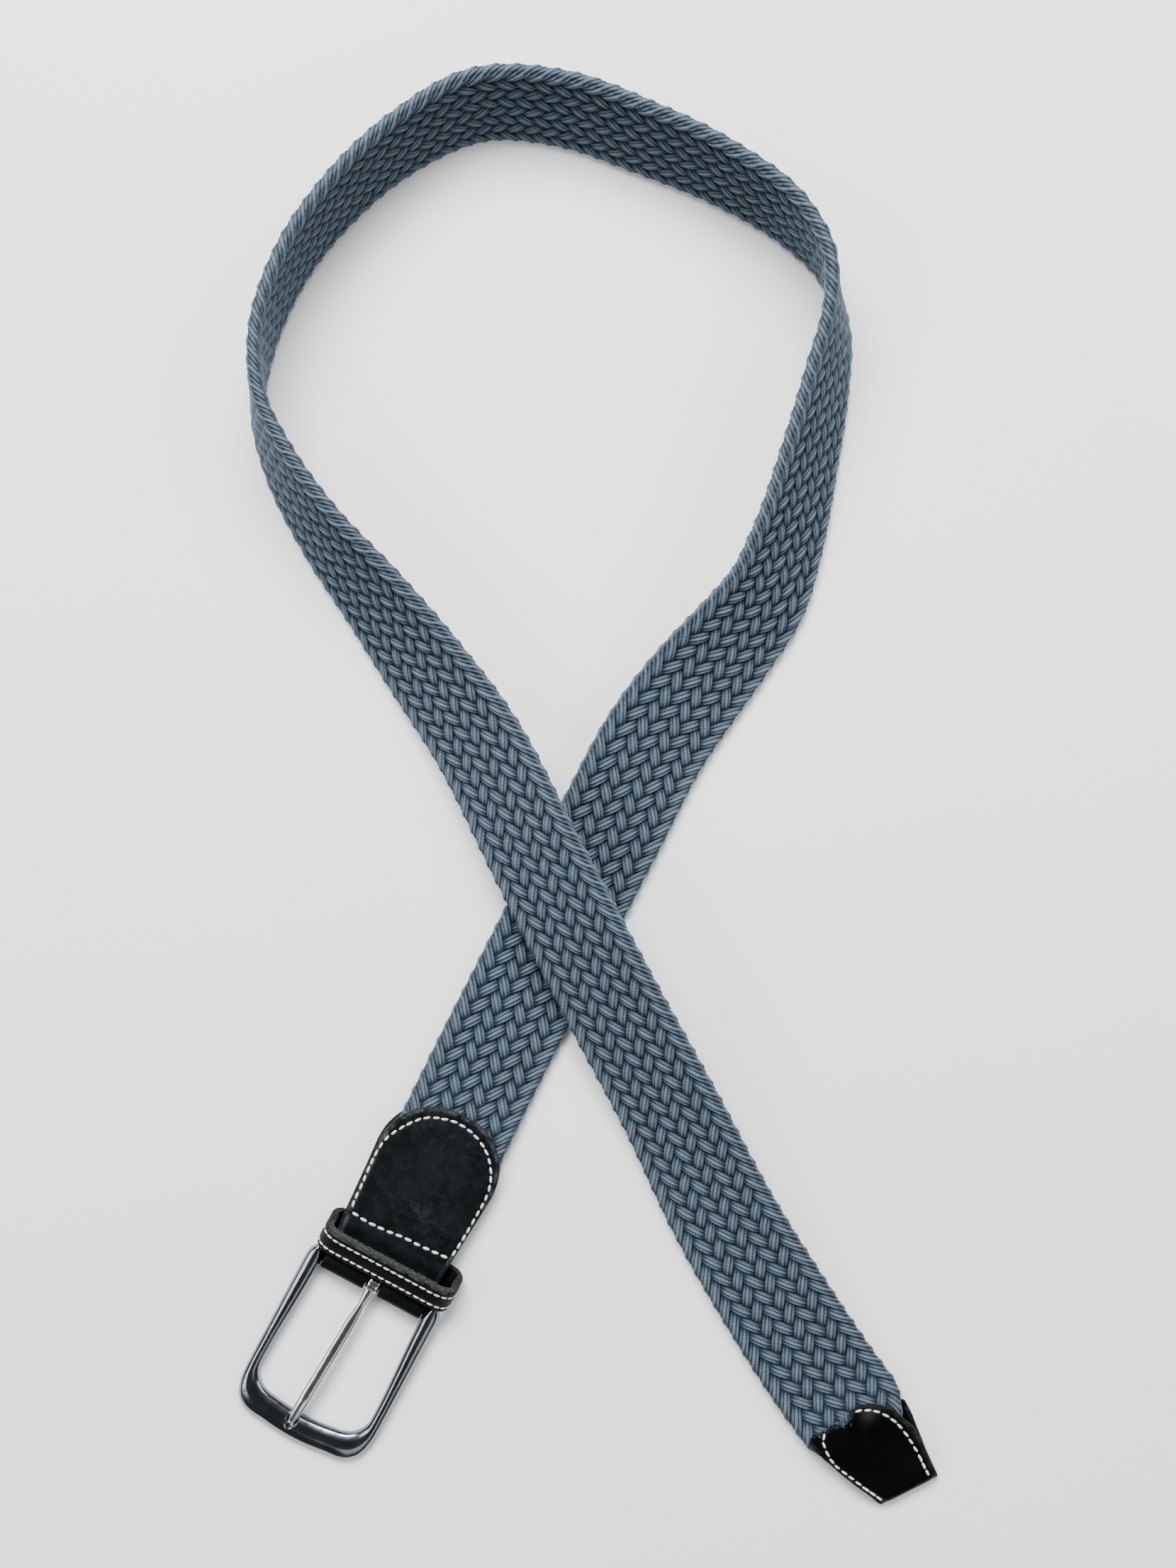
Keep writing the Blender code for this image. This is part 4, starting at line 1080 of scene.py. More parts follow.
class BELT_OT_keeper(bpy.types.Operator):
    """Bend the keeper: a thick band with two stitched grooves and a rough cut edge behind."""

    bl_idname = "belt.keeper"
    bl_label = "Bend the keeper"

    def execute(self, context):
        leather, looks = context.scene.belt_leather, context.scene.belt_looks
        material = leather_material(
            "keeper_leather", looks, looks.keeper_colour, rough=0.5, grain=0.5 * MM, scuff=0.3
        )
        middle, wide, outward = keeper_path()
        section = keeper_section(leather)
        x, y = (np.broadcast_to(line, (len(middle), len(section))) for line in section.T)
        behind = ease((x - 0.86 * KEEPER_WIDTH / 2) / (0.12 * KEEPER_WIDTH / 2))
        behind = behind * ease((0.75 * KEEPER_THICK / 2 - y) / (0.2 * KEEPER_THICK))
        run = np.linspace(0.0, 1.0, len(middle), endpoint=False)[:, None] * KEEPER_ROUND
        rough = ripple(run, y, seed=5, size=1.1 * MM) + 0.7 * ripple(run, y, seed=6, size=0.6 * MM)
        head = ease((middle[:, 2:] - 0.55 * KEEPER_HEAD_HEIGHT) / (0.3 * KEEPER_HEAD_HEIGHT))
        swell, uneven = 0.15 * MM, 0.32 * MM
        x = x + behind * (swell + uneven * rough * (0.4 + 0.6 * head))
        points = keeper_place(middle[:, None], wide[:, None], outward[:, None], x, y)
        # Painted highlight along the band's upper edges.
        rim = hump(np.abs(x) - 0.93 * KEEPER_WIDTH / 2, 0.35 * MM) * (y > 0.3 * KEEPER_THICK)
        marks = {"rim": rim, "raw": behind * (0.45 + 0.55 * head), "worn": 0.0 * x}
        quads = grid_quads(*x.shape, close_rows=True)
        mesh = make_mesh("keeper_band", points, quads, marks=marks)
        add_piece(mesh, material, "belt", "keeper_loop")
        return {"FINISHED"}


def tip_place(from_fold, across, height):
    """World points on the tip's leather, whose fold runs askew to the strap."""
    skew = TIP_FOLD_SKEW * across * np.clip(1.0 - from_fold / TIP_LENGTH, 0.0, 1.0)
    return SPINE.place(SPINE.length - from_fold + skew, across, height)


def tip_line(rows):
    """Rows of (across, distance from the end) as (distance from the skewed fold, across)."""
    across, back = (np.array(rows) * MM).T
    share = TIP_FOLD_SKEW * across / TIP_LENGTH
    return np.stack([(back + share * TIP_LENGTH) / (1 + share), across], axis=1)


def tip_edges(rows):
    """A tip layer's edge: the fold, then the table's rows, rounded a little; with its middle."""
    half = TIP_FOLD_WIDTH / 2
    points = np.vstack([[(0.0, half), (0.0, -half)], tip_line(rows)])
    outline = smooth_loop(points, TIP_STATIONS, 0.45 * MM)
    return outline, np.broadcast_to(outline.mean(axis=0), outline.shape)


def tip_seams():
    """The tip's two stitched lines, right and left, as (distance from the fold, across)."""
    return [tip_line(smooth_curve(rows, SEAM_STEPS)) for rows in (TIP_SEAM_RIGHT, TIP_SEAM_LEFT)]


def tip_groove(from_fold, across, leather):
    """Depth of the grooves in which the tip's stitches lie."""
    return 0.8 * leather.groove_depth * hump(line_gap(from_fold, across, tip_seams()), 0.5 * MM)


def tip_top(from_fold, across):
    """The upper layer's top: rising from the fold, full over the strap, falling at its sides."""
    rows = np.array([0.0, 1.2, 3.0, 8.5, 17.0, 31.0]) * MM
    tops = np.array([4.1, 4.4, 4.9, 6.0, 6.55, 6.6]) * MM
    top = np.interp(from_fold, rows, tops)
    fall, uneven = 0.9 * MM, 0.05 * MM
    strap = STRAP.half_width(SPINE.length - from_fold)
    top = top - fall * ease((np.abs(across) - strap + 0.4 * MM) / (2.8 * MM))
    return top + uneven * ripple(from_fold, across, seed=9, size=11 * MM)


class BELT_OT_tip_tab(bpy.types.Operator):
    """Fold the smooth leather over the strap's free end: a lower layer, and an upper layer
    with a slanting, frayed edge."""

    bl_idname = "belt.tip_tab"
    bl_label = "Fold the tip's leather"

    def execute(self, context):
        leather, looks = context.scene.belt_leather, context.scene.belt_looks
        material = leather_material(
            "tip_leather", looks, looks.tip_colour, rough=0.34, grain=0.55 * MM, scuff=0.12
        )
        upper, lower = tip_edges(TIP_UPPER), tip_edges(TIP_LOWER)
        near_fold = 1.0 - ease(upper[0][:, 0] / (1.5 * MM))

        def upper_top(from_fold, across):
            return tip_top(from_fold, across) - tip_groove(from_fold, across, leather)

        def upper_bottom(from_fold, across):
            under = tip_top(from_fold, across) - LEATHER
            nose = 1.0 - ease(from_fold / (4.0 * MM))
            return under + (0.3 * MM - under) * nose

        def lower_top(from_fold, across):
            return FLOOR_GAP + LEATHER + 0.0 * across

        def lower_bottom(from_fold, across):
            return FLOOR_GAP + tip_groove(from_fold, across, leather)

        def patch(from_fold, across, height):
            spot = hump(from_fold - 27.6 * MM, 1.8 * MM) * hump(across - 4.5 * MM, 2.6 * MM)
            return 0.45 * spot * (height > 4.0 * MM)

        rim = 0.7 * MM
        nose_rim = rim + 1.1 * MM * near_fold
        for name, edges, top, bottom, rim, band, marks in (
            ("tip_upper", upper, upper_top, upper_bottom, nose_rim, 4.0 * MM, {"raw": patch}),
            ("tip_lower", lower, lower_top, lower_bottom, rim, 6.5 * MM, {}),
        ):
            mesh = layer_mesh(name, edges, top, bottom, rim, band, tip_place, marks, edge_wear_and_highlight=0.3)
            add_piece(mesh, material, "belt", "tip_tab")
        return {"FINISHED"}


def stitch_rings(start, end, up, thick, slant=0.0, arch=STITCH_ARCH):
    """Stitches between start and end points: a thread that arches and tapers into its holes.

    With s from -1 to 1 along it, the middle rises by arch * (1 - |s|^3) of the thickness and
    the radius shrinks as (1 - |s|^2.4)^0.6. Each stitch is turned by slant.
    """
    middle, half = (start + end) / 2, (end - start) / 2
    side = np.cross(unit(up), unit(half))
    length = np.linalg.norm(half, axis=1, keepdims=True)
    half = half * math.cos(slant) + side * length * math.sin(slant)
    side = unit(np.cross(up, half))
    up = unit(np.cross(half, side))
    share = np.linspace(-1.0, 1.0, 9)
    radius = thick / 2 * np.maximum(1 - np.abs(share) ** 2.4, 0.02) ** 0.6
    rise = arch * thick * (1 - np.abs(share) ** 3) - STITCH_SINK * thick
    turn = turns(8)
    core = middle[:, None] + half[:, None] * share[:, None] + up[:, None] * rise[:, None]
    ring = np.cos(turn)[:, None] * side[:, None, None] * THREAD_WIDE
    ring = ring + np.sin(turn)[:, None] * up[:, None, None] * THREAD_TALL
    return core[:, :, None] + ring * radius[None, :, None, None]


def sew(points, up, pitch, share, thick, slant, seed, arch=STITCH_ARCH):
    """Stitch along a line of world points: a thread over a share of each pitch's middle."""
    up = np.broadcast_to(up, points.shape)
    run = run_along(points)
    count = max(int(round(run[-1] / pitch)), 1)
    rng = np.random.default_rng(seed)
    starts = (np.arange(count) + 0.5 - share / 2) * run[-1] / count
    starts = starts + rng.uniform(-0.04, 0.04, count) * pitch
    ends = starts + share * run[-1] / count * rng.uniform(0.94, 1.06, count)
    up = unit(read_line(starts, run, up) + read_line(ends, run, up))
    first, last = read_line(starts, run, points), read_line(ends, run, points)
    return stitch_rings(first, last, up, thick, slant, arch)


def stitch_piece(name, groups, material):
    """One piece from several rows of stitches."""
    rings = np.concatenate(groups)
    add_piece(tube_mesh(name, rings, run_along(rings.mean(axis=2)) / MM), material, "belt")


class BELT_OT_stitching(bpy.types.Operator):
    """Sew the pale saddle stitches: round the tab, across its neck, along the keeper and round
    the tip."""

    bl_idname = "belt.stitching"
    bl_label = "Sew the stitches"

    def execute(self, context):
        thread = thread_material(context.scene.belt_looks)
        for sew_part in (self.sew_tab, self.sew_keeper, self.sew_tip):
            sew_part(context.scene.belt_leather, thread)
        return {"FINISHED"}

    def sew_tab(self, leather, thread):
        size, pitch, slant = leather.thread, leather.tab_pitch, leather.stitch_slant
        groups = []
        for rows, wide, thick, seed in ((TAB_SEAM, 1.0, 1.0, 21), (TAB_ROW, 1.04, 1.22, 22)):
            along, across = seam_line(rows).T
            top = tab_top(along, across, leather) - tab_groove(along, across, leather)
            bottom = tab_bottom(along, across) + UNDER_STITCH * thick * size
            for height, up in ((top, UP), (bottom, DOWN)):
                points = SPINE.place(along, across, height)
                groups.append(sew(points, up, wide * pitch, 0.84, thick * size, slant, seed))
        stitch_piece("tab_stitches", groups, thread)

    def sew_keeper(self, leather, thread):
        middle, wide, outward = keeper_path()
        top = np.flatnonzero(middle[:, 2] > 0.42 * KEEPER_HEAD_HEIGHT)
        groups, thick, pitch = [], 0.86 * leather.thread, leather.keeper_pitch
        level = np.full(len(top), KEEPER_THICK / 2 + 0.22 * MM)
        for side in (-1, 1):
            offset = np.full(len(top), side * leather.keeper_rows / 2)
            args = (middle[top], wide[top], outward[top], offset)
            points = keeper_place(*args, level)
            up = keeper_place(*args, level + MM) - points
            groups.append(sew(points, up, pitch, 0.88, thick, 0.08, 30 + side, arch=0.24))
        stitch_piece("keeper_stitches", groups, thread)

    def sew_tip(self, leather, thread):
        groups, size, pitch = [], 0.95 * leather.thread, leather.tip_pitch
        for number, line in enumerate(tip_seams()):
            top = tip_top(*line.T) - tip_groove(*line.T, leather)
            points = tip_place(*line.T, top)
            groups.append(sew(points, UP, pitch, 0.85, size, 0.10, 41 + number))
            last = points[-leather.back_stitches * SEAM_STEPS :]
            groups.append(sew(last, UP, pitch, 0.9, 1.1 * size, -0.06, 51 + number))
            below = line[line[:, 0] < 25.0 * MM]
            points = tip_place(*below.T, FLOOR_GAP + UNDER_STITCH * size)
            groups.append(sew(points, DOWN, pitch, 0.85, size, 0.10, 61 + number))
        stitch_piece("tip_stitches", groups, thread)


class BELT_OT_frays(bpy.types.Operator):
    """Fray the braid's cut threads: half in a tuft at the notch of the tip's upper edge, and
    half along the edge."""

    bl_idname = "belt.frays"
    bl_label = "Fray the braid at the tip"

    def execute(self, context):
        looks, count = context.scene.belt_looks, context.scene.belt_leather.frays
        rng = np.random.default_rng(61)
        tuft, rest = count // 2, count - count // 2
        across = np.r_[rng.normal(-2.8, 1.1, tuft), rng.uniform(-12.0, -1.0, rest)]
        back = np.r_[rng.normal(30.2, 0.7, tuft), rng.uniform(31.0, 32.6, rest)]
        turn = math.pi / 2 + rng.choice([-1, 1], count) * rng.normal(0.65, 0.25, count)
        reach = rng.uniform(0.35, 0.95, count)
        step = np.stack([np.cos(turn), np.sin(turn)], axis=1) * reach[:, None]
        ends = []
        for way in (-1, 1):
            line = tip_line(np.stack([across, back], axis=1) + way * step)
            height = tip_top(*line.T) + 0.1 * MM + rng.uniform(-0.1, 0.3, count) * MM
            ends.append(tip_place(*line.T, height))
        rings = stitch_rings(*ends, np.broadcast_to(UP, ends[0].shape), 0.15 * MM)
        add_piece(tube_mesh("tip_frays", rings), fray_material(looks), "belt")
        return {"FINISHED"}


def bar_place(local):
    """World points of the buckle's own plane: across, back and up from the bar's middle."""
    ahead = SPINE.heading(0.0)
    turn = math.atan2(ahead[1], ahead[0]) - math.pi / 2
    pitch = math.asin((BAR_HEIGHT - FRAME_THICK / 2) / FRAME_REACH)
    c, s = math.cos(turn), math.sin(turn)
    cp, sp = math.cos(pitch), math.sin(pitch)
    spin = np.array([[c, -s * cp, s * sp], [s, c * cp, -c * sp], [0.0, sp, cp]])
    return local @ spin.T + np.array([*SPINE.plan(0.0), BAR_HEIGHT])


def frame_edges():
    """Matching inner and outer edge points from one knuckle to the other, closely spaced.

    Each row holds across and forward of the inner and then the outer point. The inner corner
    is a circle, and the outer one a superellipse about the same centre. The front is smoothed
    by a moving average.
    """
    inner_front = FRAME_REACH - FRAME_FRONT - FRAME_BOW
    window, wide = FRAME_WINDOW / 2, FRAME_WINDOW / 2 + FRAME_FLARE
    centre = np.array([wide - FRAME_CORNER, inner_front - FRAME_CORNER])
    reach = np.array([FRAME_WIDTH / 2, FRAME_REACH - FRAME_BOW]) - centre
    edge = FRAME_WIDTH / 2
    arm = edge - window
    rows = []
    for share in np.linspace(0.0, 1.0, 9):
        inset = 0.45 * arm * (1 - math.sqrt(1 - (1 - share) ** 2))
        forward = -KNUCKLE + 2 * KNUCKLE * share
        rows.append((window + inset, forward, edge - inset, forward))
    for share in np.linspace(0.0, 1.0, 26)[1:-1]:
        forward = KNUCKLE + share * (centre[1] - KNUCKLE)
        flare = FRAME_FLARE * float(ease(forward / (0.97 * centre[1])))
        rows.append((window + flare, forward, edge, forward))
    for angle in np.radians(np.linspace(0.0, 90.0, 41)):
        turn = np.clip([math.cos(angle), math.sin(angle)], 0.0, 1.0)
        inner = centre + FRAME_CORNER * turn
        outer = centre + reach * turn ** (2 / FRAME_SQUARENESS)
        rows.append((*inner, *outer))
    for share in np.linspace(1.0, 0.0, 50)[1:]:
        bow = FRAME_BOW * (1 - share**2)
        x = share * centre[0]
        rows.append((x, inner_front + bow, x, FRAME_REACH - FRAME_BOW + bow))
    mirrored = [(-a, b, -c, d) for a, b, c, d in reversed(rows[:-1])]
    edges = np.array(rows + mirrored)
    front = ease((edges[:, 1:2] - 0.75 * FRAME_REACH) / (0.1 * FRAME_REACH))
    return edges + (hann_mean(edges, 19) - edges) * front


def frame_rings(buckle):
    """The buckle's arms and front: its section, closely spaced and rounded, swept between the
    inner and outer edges, with ridges on the front's outer slope and a seat for the prong."""
    edges = frame_edges()
    section = smooth_loop(FRAME_SECTION, 64, 0.16)
    inner, outer = edges[:, :2], edges[:, 2:]
    middle, reach = (inner + outer) / 2, (outer - inner) / 2
    half = np.linalg.norm(reach, axis=1)
    thick = np.minimum(FRAME_THICK / 2, 1.3 * half)
    place = middle[:, None] + section[None, :, :1] * reach[:, None]
    level = section[None, :, 1] * thick[:, None]
    front = ease((middle[:, 1] - 0.84 * FRAME_REACH) / (0.08 * FRAME_REACH))[:, None]
    ridges, slope = 3, (section[:, 0] - 0.15) / 0.75
    on_slope = (slope > 0) & (slope < 1) & (section[:, 1] > 0.2)
    steps = np.sin(slope * ridges * 2 * math.pi) * on_slope
    right = ease((place[..., 0] * -buckle.ridge_side + 6 * MM) / (14 * MM))
    level = level + buckle.ridge_depth * steps[None, :] * front * right
    crown_height = 0.25 * MM
    crown = np.maximum(0.0, 1 - (section[:, 0] / 0.9) ** 2) * (section[:, 1] > 0.5)
    level = level + crown_height * front * crown[None, :]
    radius = 0.8 * PRONG_WIDTH
    off = place[..., 0] * math.cos(PRONG_YAW) - place[..., 1] * math.sin(PRONG_YAW)
    seat = FRAME_THICK / 2 - PRONG_SEAT + radius
    seat = seat - np.sqrt(np.maximum(radius**2 - off**2, 0.0))
    seat = seat + PRONG_SEAT * ease((place[..., 1] - PRONG_REACH + 1.0 * MM) / (3.0 * MM))
    inside = (np.abs(off) < radius) & (place[..., 1] > 0.7 * FRAME_REACH)
    level = np.where(inside, np.minimum(level, seat), level)
    return np.stack([place[..., 0], -place[..., 1], level], axis=-1)[None]


def bar_rings():
    """The round bar from the middle of one arm to the middle of the other."""
    arm = (FRAME_WINDOW + FRAME_WIDTH) / 4
    turn = turns(32)
    ring = BAR_RADIUS * np.stack([0 * turn, np.cos(turn), np.sin(turn)], axis=1)
    return (np.linspace([-arm, 0.0, 0.0], [arm, 0.0, 0.0], 5)[:, None] + ring[None])[None]


def prong_rings():
    """The prong's shank: superellipse sections, smoothly changing along the named rows."""
    rest = FRAME_THICK / 2 - PRONG_SEAT + GAP + 0.5 * PRONG_THICK
    rows = np.array(PRONG_SECTIONS)
    share = np.linspace(rows[0, 0], 1.0, 90)
    half, thick, rise = hann_mean(read_line(share, rows[:, 0], rows[:, 1:]), 9).T
    level = share * rest + rise * PRONG_THICK
    turn = turns(28)
    side = np.sign(np.cos(turn)) * np.abs(np.cos(turn)) ** 0.75
    up = np.sign(np.sin(turn)) * np.abs(np.sin(turn)) ** 0.8
    x = half[:, None] * PRONG_WIDTH * side[None]
    y = np.broadcast_to(-share[:, None] * PRONG_REACH, x.shape)
    z = level[:, None] + thick[:, None] * PRONG_THICK * up[None]
    c, s = math.cos(PRONG_YAW), math.sin(PRONG_YAW)
    return np.stack([c * x - s * y, s * x + c * y, z], axis=-1)[None]


def eye_points():
    """The prong's eye: a ring round the bar whose outside bulges across its width."""
    turn = turns(48)[:, None]
    share = np.linspace(-1.0, 1.0, 15)
    bore, half = BAR_RADIUS + GAP, PRONG_EYE_WIDTH / 2
    wall = PRONG_EYE_WALL * np.maximum(1 - np.abs(share) ** 5, 0.0) ** 0.5
    across = np.r_[share, np.linspace(0.9, -0.9, 5)] * half
    radius = np.r_[np.maximum(bore + wall, bore + 0.15 * MM), np.full(5, bore)]
    x = np.broadcast_to(across, (len(turn), len(across)))
    return np.stack([x, np.cos(turn) * radius, np.sin(turn) * radius], axis=-1)


def join_meshes(name, meshes):
    """One mesh from several."""
    shape = bmesh.new()
    for mesh in meshes:
        shape.from_mesh(mesh)
    joined = bpy.data.meshes.new(name)
    shape.to_mesh(joined)
    shape.free()
    for mesh in meshes:
        bpy.data.meshes.remove(mesh)
    return joined


class BELT_OT_buckle(bpy.types.Operator):
    """Cast the buckle: the polished frame with its bar, and the prong."""

    bl_idname = "belt.buckle"
    bl_label = "Cast the buckle"

    def execute(self, context):
        buckle, looks = context.scene.belt_buckle, context.scene.belt_looks
        steel = metal_material("frame_metal", looks.frame_colour, rough=0.16, streak=0.14)
        bright = metal_material("prong_metal", looks.prong_colour, rough=0.18, streak=0.12)
        body = tube_mesh("frame_body", bar_place(frame_rings(buckle)))
        bar = tube_mesh("frame_bar", bar_place(bar_rings()))
        mesh = join_meshes("frame_polished", [body, bar])
        add_piece(mesh, steel, "frame", "buckle_frame")
        shank = tube_mesh("prong_shank", bar_place(prong_rings()))
        eye = eye_points()
        ring = make_mesh("prong_eye", bar_place(eye), grid_quads(*eye.shape[:2], close_rows=True))
        mesh = join_meshes("prong_polished", [shank, ring])
        add_piece(mesh, bright, "prong", "prong")
        return {"FINISHED"}


def area_light(name, bearing, lift, power):
    """A soft light at a bearing and lift in degrees from the origin, aimed at the origin."""
    data = bpy.data.lights.new(name, "AREA")
    data.shape = "RECTANGLE"
    data.size, data.size_y = LIGHT_SIZE
    data.energy = power
    light = bpy.data.objects.new(name, data)
    bpy.context.scene.collection.objects.link(light)
    turn, lift = math.radians(bearing), math.radians(lift)
    flat = LIGHT_DISTANCE * math.cos(lift)
    light.location = (flat * math.cos(turn), flat * math.sin(turn), LIGHT_DISTANCE * math.sin(lift))
    light.rotation_euler = (math.pi / 2 - lift, 0.0, turn + math.pi / 2)


class BELT_OT_stage(bpy.types.Operator):
    """Set the stage: a pale floor, soft lights and a camera straight above."""

    bl_idname = "belt.stage"
    bl_label = "Set the stage"

    def execute(self, context):
        stage = context.scene.belt_stage
        floor = bpy.data.objects.new("floor", self.floor_mesh(stage))
        context.scene.collection.objects.link(floor)
        context.scene.world = self.room(stage)
        for name, (bearing, lift, power) in LIGHTS.items():
            area_light(name, bearing, lift, getattr(stage, power))
        data = bpy.data.cameras.new("camera")
        data.lens = stage.lens
        data.sensor_width = 36.0
        camera = bpy.data.objects.new("camera", data)
        camera.location = (*LAY_SHIFT, stage.camera_height)
        context.scene.collection.objects.link(camera)
        context.scene.camera = camera
        return {"FINISHED"}

    def floor_mesh(self, stage):
        """A large square that gives a little light where the lamps don't reach."""
        tree = Nodes(bpy.data.materials.new("floor"), Roughness=0.9, Specular_IOR_Level=0.1)
        pale = [0.97 * c for c in stage.floor_colour]
        shade = tree.fade(tree.noise(0.3, 2.0), 0.3, 0.7)
        tree.set("Base Color", tree.mix(shade, stage.floor_colour, pale))
        reach = tree.node("ShaderNodeVectorMath", "Value", {0: tree.place()}, operation="LENGTH")
        tree.set("Emission Color", ROOM_TINT)
        glow = tree.fade(reach, GLOW_START, GLOW_FULL, 0.0, stage.far_floor)
        tree.set("Emission Strength", glow)
        mesh = bpy.data.meshes.new("floor")
        corners = np.array([(-1, -1, 0), (1, -1, 0), (1, 1, 0), (-1, 1, 0)]) * FLOOR_HALF
        mesh.from_pydata(corners.tolist(), [], [(0, 1, 2, 3)])
        mesh.materials.append(tree.owner)
        return mesh

    def room(self, stage):
        """A room that is pale low down and dim overhead."""
        tree = Nodes(bpy.data.worlds.new("studio"), "Background", Color=ROOM_TINT)
        rise = tree.parts(tree.node("ShaderNodeTexCoord", "Generated"))[2]
        tree.set("Strength", tree.fade(rise, 0.05, 0.5, stage.horizon, stage.sky))
        return tree.owner


def number_prop(name, description, default, **settings):
    return bpy.props.FloatProperty(name=name, description=description, default=default, **settings)


def length_prop(name, description, default):
    """A length, given in m."""
    return number_prop(name, description, default, min=0.0, precision=5, unit="LENGTH")


def share_prop(name, description, default, low=0.0, high=1.0):
    return number_prop(name, description, default, min=low, max=high, subtype="FACTOR")


def count_prop(name, description, default, low=1):
    return bpy.props.IntProperty(name=name, description=description, default=default, min=low)


def colour_prop(name, description, default):
    """A linear colour of red, green and blue."""
    settings = {"size": 3, "min": 0.0, "max": 1.0, "subtype": "COLOR"}
    return bpy.props.FloatVectorProperty(
        name=name, description=description, default=default, **settings
    )


class BraidSizes(bpy.types.PropertyGroup):
    """Sizes of the braid."""

    strands: count_prop("Strands", "Strands in the braid, one more than a multiple of four", 17, 5)
    column: length_prop("Column", "Distance across between crossings", 2.05 * MM)
    pieces: count_prop("Pieces", "Pieces that the cords are shared out to", 5)
    cord_sides: count_prop("Cord sides", "Faces round each cord", 6, 4)
    repeat: length_prop("Repeat", "Length in which a strand goes across and back", 95.2 * MM)
    cord_width: length_prop("Cord width", "Width of a cord in its strand", 1.20 * MM)
    cord_pitch: length_prop("Cord pitch", "Distance between the cords of a strand", 1.05 * MM)
    cord_height: length_prop("Cord height", "Height of a cord", 1.70 * MM)
    layer_rise: length_prop("Layer rise", "Height of a strand's middle over the belt's", 1.20 * MM)
    middle_rise: length_prop("Middle rise", "How far a strand's middle cord is proud", 0.35 * MM)
    rib_pitch: length_prop("Rib pitch", "Distance between the ribs round a cord", 0.45 * MM)
    unevenness: length_prop("Unevenness", "Sway of a cord from its line", 0.05 * MM)
    edge_slim: share_prop("Edge slim", "How much less tall a cord is at an edge", 0.25, 0.0, 0.6)
    squareness: share_prop("Squareness", "Power of the wave, lower is squarer", 0.45, 0.1, 2.0)
    dive_pinch: share_prop("Dive pinch", "Share of the cords' spacing left at dives", 0.85, 0.1)
    gather: share_prop("Gather", "How far a cord's stations gather at its dives", 0.45, 0.0, 0.9)


class LeatherSizes(bpy.types.PropertyGroup):
    """Sizes of the leather and its stitches."""

    layer_step: length_prop("Layer step", "How far the lower layer shows at the left", 0.8 * MM)
    right_inset: length_prop("Right inset", "How far the tab stops short at the right", 0.8 * MM)
    pinch: length_prop("Pinch", "How far the tab's top falls outside the strap", 1.5 * MM)
    groove_depth: length_prop("Groove depth", "Depth of the stitched groove", 0.35 * MM)
    tab_pitch: length_prop("Tab pitch", "Length of one stitch and its gap on the tab", 2.8 * MM)
    keeper_pitch: length_prop("Keeper pitch", "Length of one stitch and its gap", 2.45 * MM)
    keeper_rows: length_prop("Keeper rows", "Distance between the keeper's rows", 5.1 * MM)
    tip_pitch: length_prop("Tip pitch", "Length of one stitch and its gap on the tip", 2.85 * MM)
    thread: length_prop("Thread", "Width of the thread", 0.76 * MM)
    back_stitches: count_prop("Back stitches", "Stitches sewn twice at the tip's fold", 3)
    frays: count_prop("Frays", "Frayed threads at the tip's upper edge", 70, 2)
    stitch_slant: number_prop("Stitch slant", "Turn of a stitch off its row", 0.10, subtype="ANGLE")


class BuckleSizes(bpy.types.PropertyGroup):
    """Sizes of the buckle's fine forms."""

    ridge_depth: length_prop("Ridge depth", "Depth of the ridges on the front's slope", 0.07 * MM)
    ridge_side: number_prop("Ridge side", "The side with the ridges, 1 or -1", 1.0)


class Looks(bpy.types.PropertyGroup):
    """Colours of the materials."""

    yarn_colour: colour_prop("Yarn", "Slate blue of the cords", (0.059, 0.093, 0.131))
    # Painted highlight on the crests of the ribs.
    crest_highlight_colour: colour_prop("Yarn crest", "Pale tops of the ribs", (0.164, 0.216, 0.268))
    # Painted shade in the braid's gaps, its rib valleys and the sheet inside it.
    gap_shade_colour: colour_prop("Yarn gap", "Dark of the gaps", (0.003, 0.012, 0.024))
    nubuck_colour: colour_prop("Nubuck", "The tab's leather", (0.0016, 0.0026, 0.0030))
    nubuck_worn: colour_prop("Scuffs", "Scuffed leather", (0.022, 0.028, 0.031))
    keeper_colour: colour_prop("Keeper", "The keeper's leather", (0.0014, 0.0018, 0.0018))
    tip_colour: colour_prop("Tip", "The tip's leather", (0.0005, 0.0007, 0.0008))
    # Painted highlight along the leather's rounded rims.
    rim_highlight_colour: colour_prop("Rims", "Rubbed rims", (0.070, 0.080, 0.082))
    fray_colour: colour_prop("Frays", "Pale frayed threads", (0.085, 0.115, 0.140))
    raw_dark: colour_prop("Raw dark", "Dark of the cut edges", (0.006, 0.007, 0.007))
    raw_pale: colour_prop("Raw pale", "Pale nap of the cut edges", (0.075, 0.080, 0.082))
    thread_colour: colour_prop("Thread", "Off-white thread", (0.72, 0.72, 0.68))
    # Grey for soiling and for painted shade in the grooves between the plies.
    thread_soil_and_shade: colour_prop("Thread soil", "Soiled thread", (0.30, 0.31, 0.30))
    frame_colour: colour_prop("Frame", "Dark nickel", (0.20, 0.22, 0.25))
    prong_colour: colour_prop("Prong", "Bright nickel", (0.62, 0.63, 0.64))


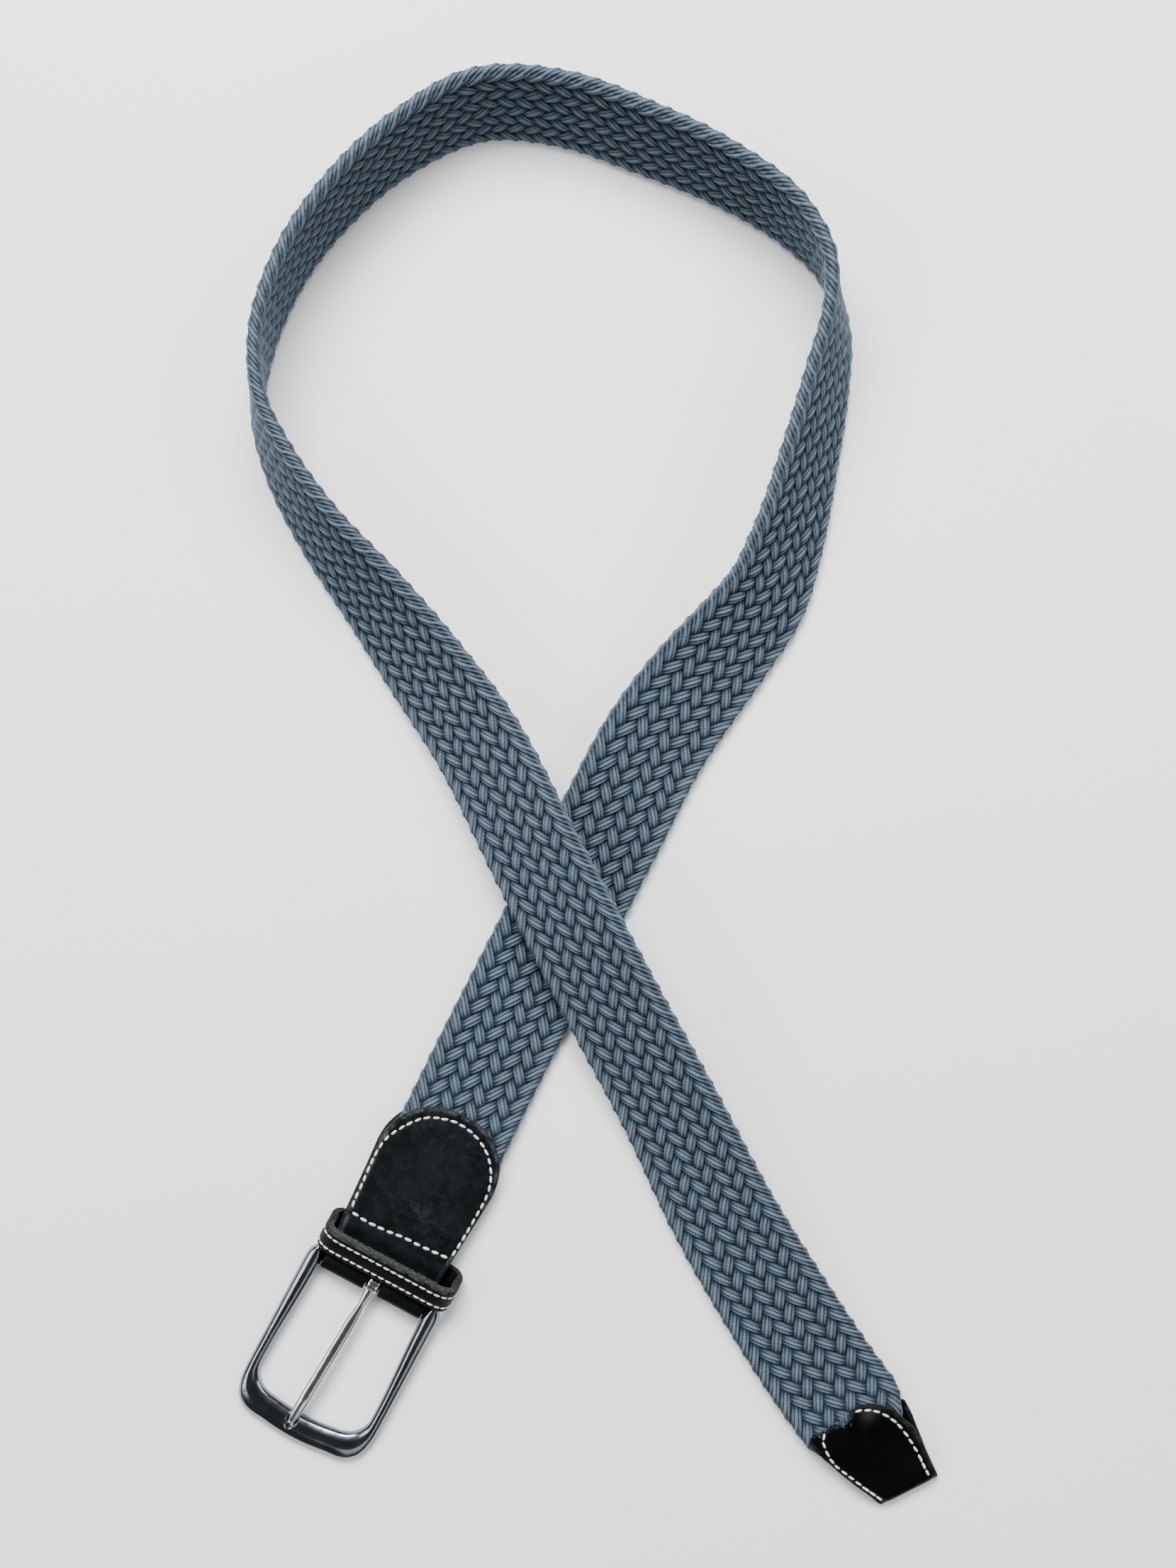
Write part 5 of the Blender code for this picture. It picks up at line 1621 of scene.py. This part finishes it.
class StageSizes(bpy.types.PropertyGroup):
    """Camera, lights and floor."""

    camera_height: length_prop("Camera height", "Height of the camera over the floor", 0.700)
    lens: number_prop("Lens", "Focal length in mm", 51.907)
    horizon: number_prop("Horizon", "Strength of the room's light low down", 0.40)
    sky: number_prop("Sky", "Strength of the light overhead", 0.07)
    far_floor: number_prop("Far floor", "Light that the floor gives where no lamp reaches", 0.28)
    key: number_prop("Key", "Power of the top light in W", 44.0)
    fill: number_prop("Fill", "Power of each side light in W", 8.0)
    front: number_prop("Front", "Power of the front light in W", 2.0)
    floor_colour: colour_prop("Floor", "Pale floor", (0.92, 0.92, 0.92))


class BELT_PT_panel(bpy.types.Panel):
    """The belt's pieces, in the order in which they are made."""

    bl_label = "Braided stretch belt"
    bl_idname = "BELT_PT_panel"
    bl_space_type = "VIEW_3D"
    bl_region_type = "UI"
    bl_category = "Belt"

    def draw(self, context):
        for operator in OPERATORS:
            self.layout.operator(operator.bl_idname)
        for group in GROUPS:
            sizes = getattr(context.scene, group)
            box = self.layout.box()
            for key in sizes.__annotations__:
                box.prop(sizes, key)


OPERATORS = (
    BELT_OT_braid,
    BELT_OT_buckle_tab,
    BELT_OT_keeper,
    BELT_OT_tip_tab,
    BELT_OT_stitching,
    BELT_OT_frays,
    BELT_OT_buckle,
    BELT_OT_stage,
)
GROUPS = {
    "belt_braid": BraidSizes,
    "belt_leather": LeatherSizes,
    "belt_buckle": BuckleSizes,
    "belt_looks": Looks,
    "belt_stage": StageSizes,
}
CLASSES = (*GROUPS.values(), *OPERATORS, BELT_PT_panel)


def register():
    """Add the classes, and their values to the scene."""
    for item in CLASSES:
        bpy.utils.register_class(item)
    for name, group in GROUPS.items():
        setattr(bpy.types.Scene, name, bpy.props.PointerProperty(type=group))


def unregister():
    """Take them away again."""
    for name in GROUPS:
        delattr(bpy.types.Scene, name)
    for item in reversed(CLASSES):
        bpy.utils.unregister_class(item)


def main():
    """Make every piece in order."""
    register()
    for operator in OPERATORS:
        area, name = operator.bl_idname.split(".")
        getattr(getattr(bpy.ops, area), name)()


if __name__ == "__main__":
    main()
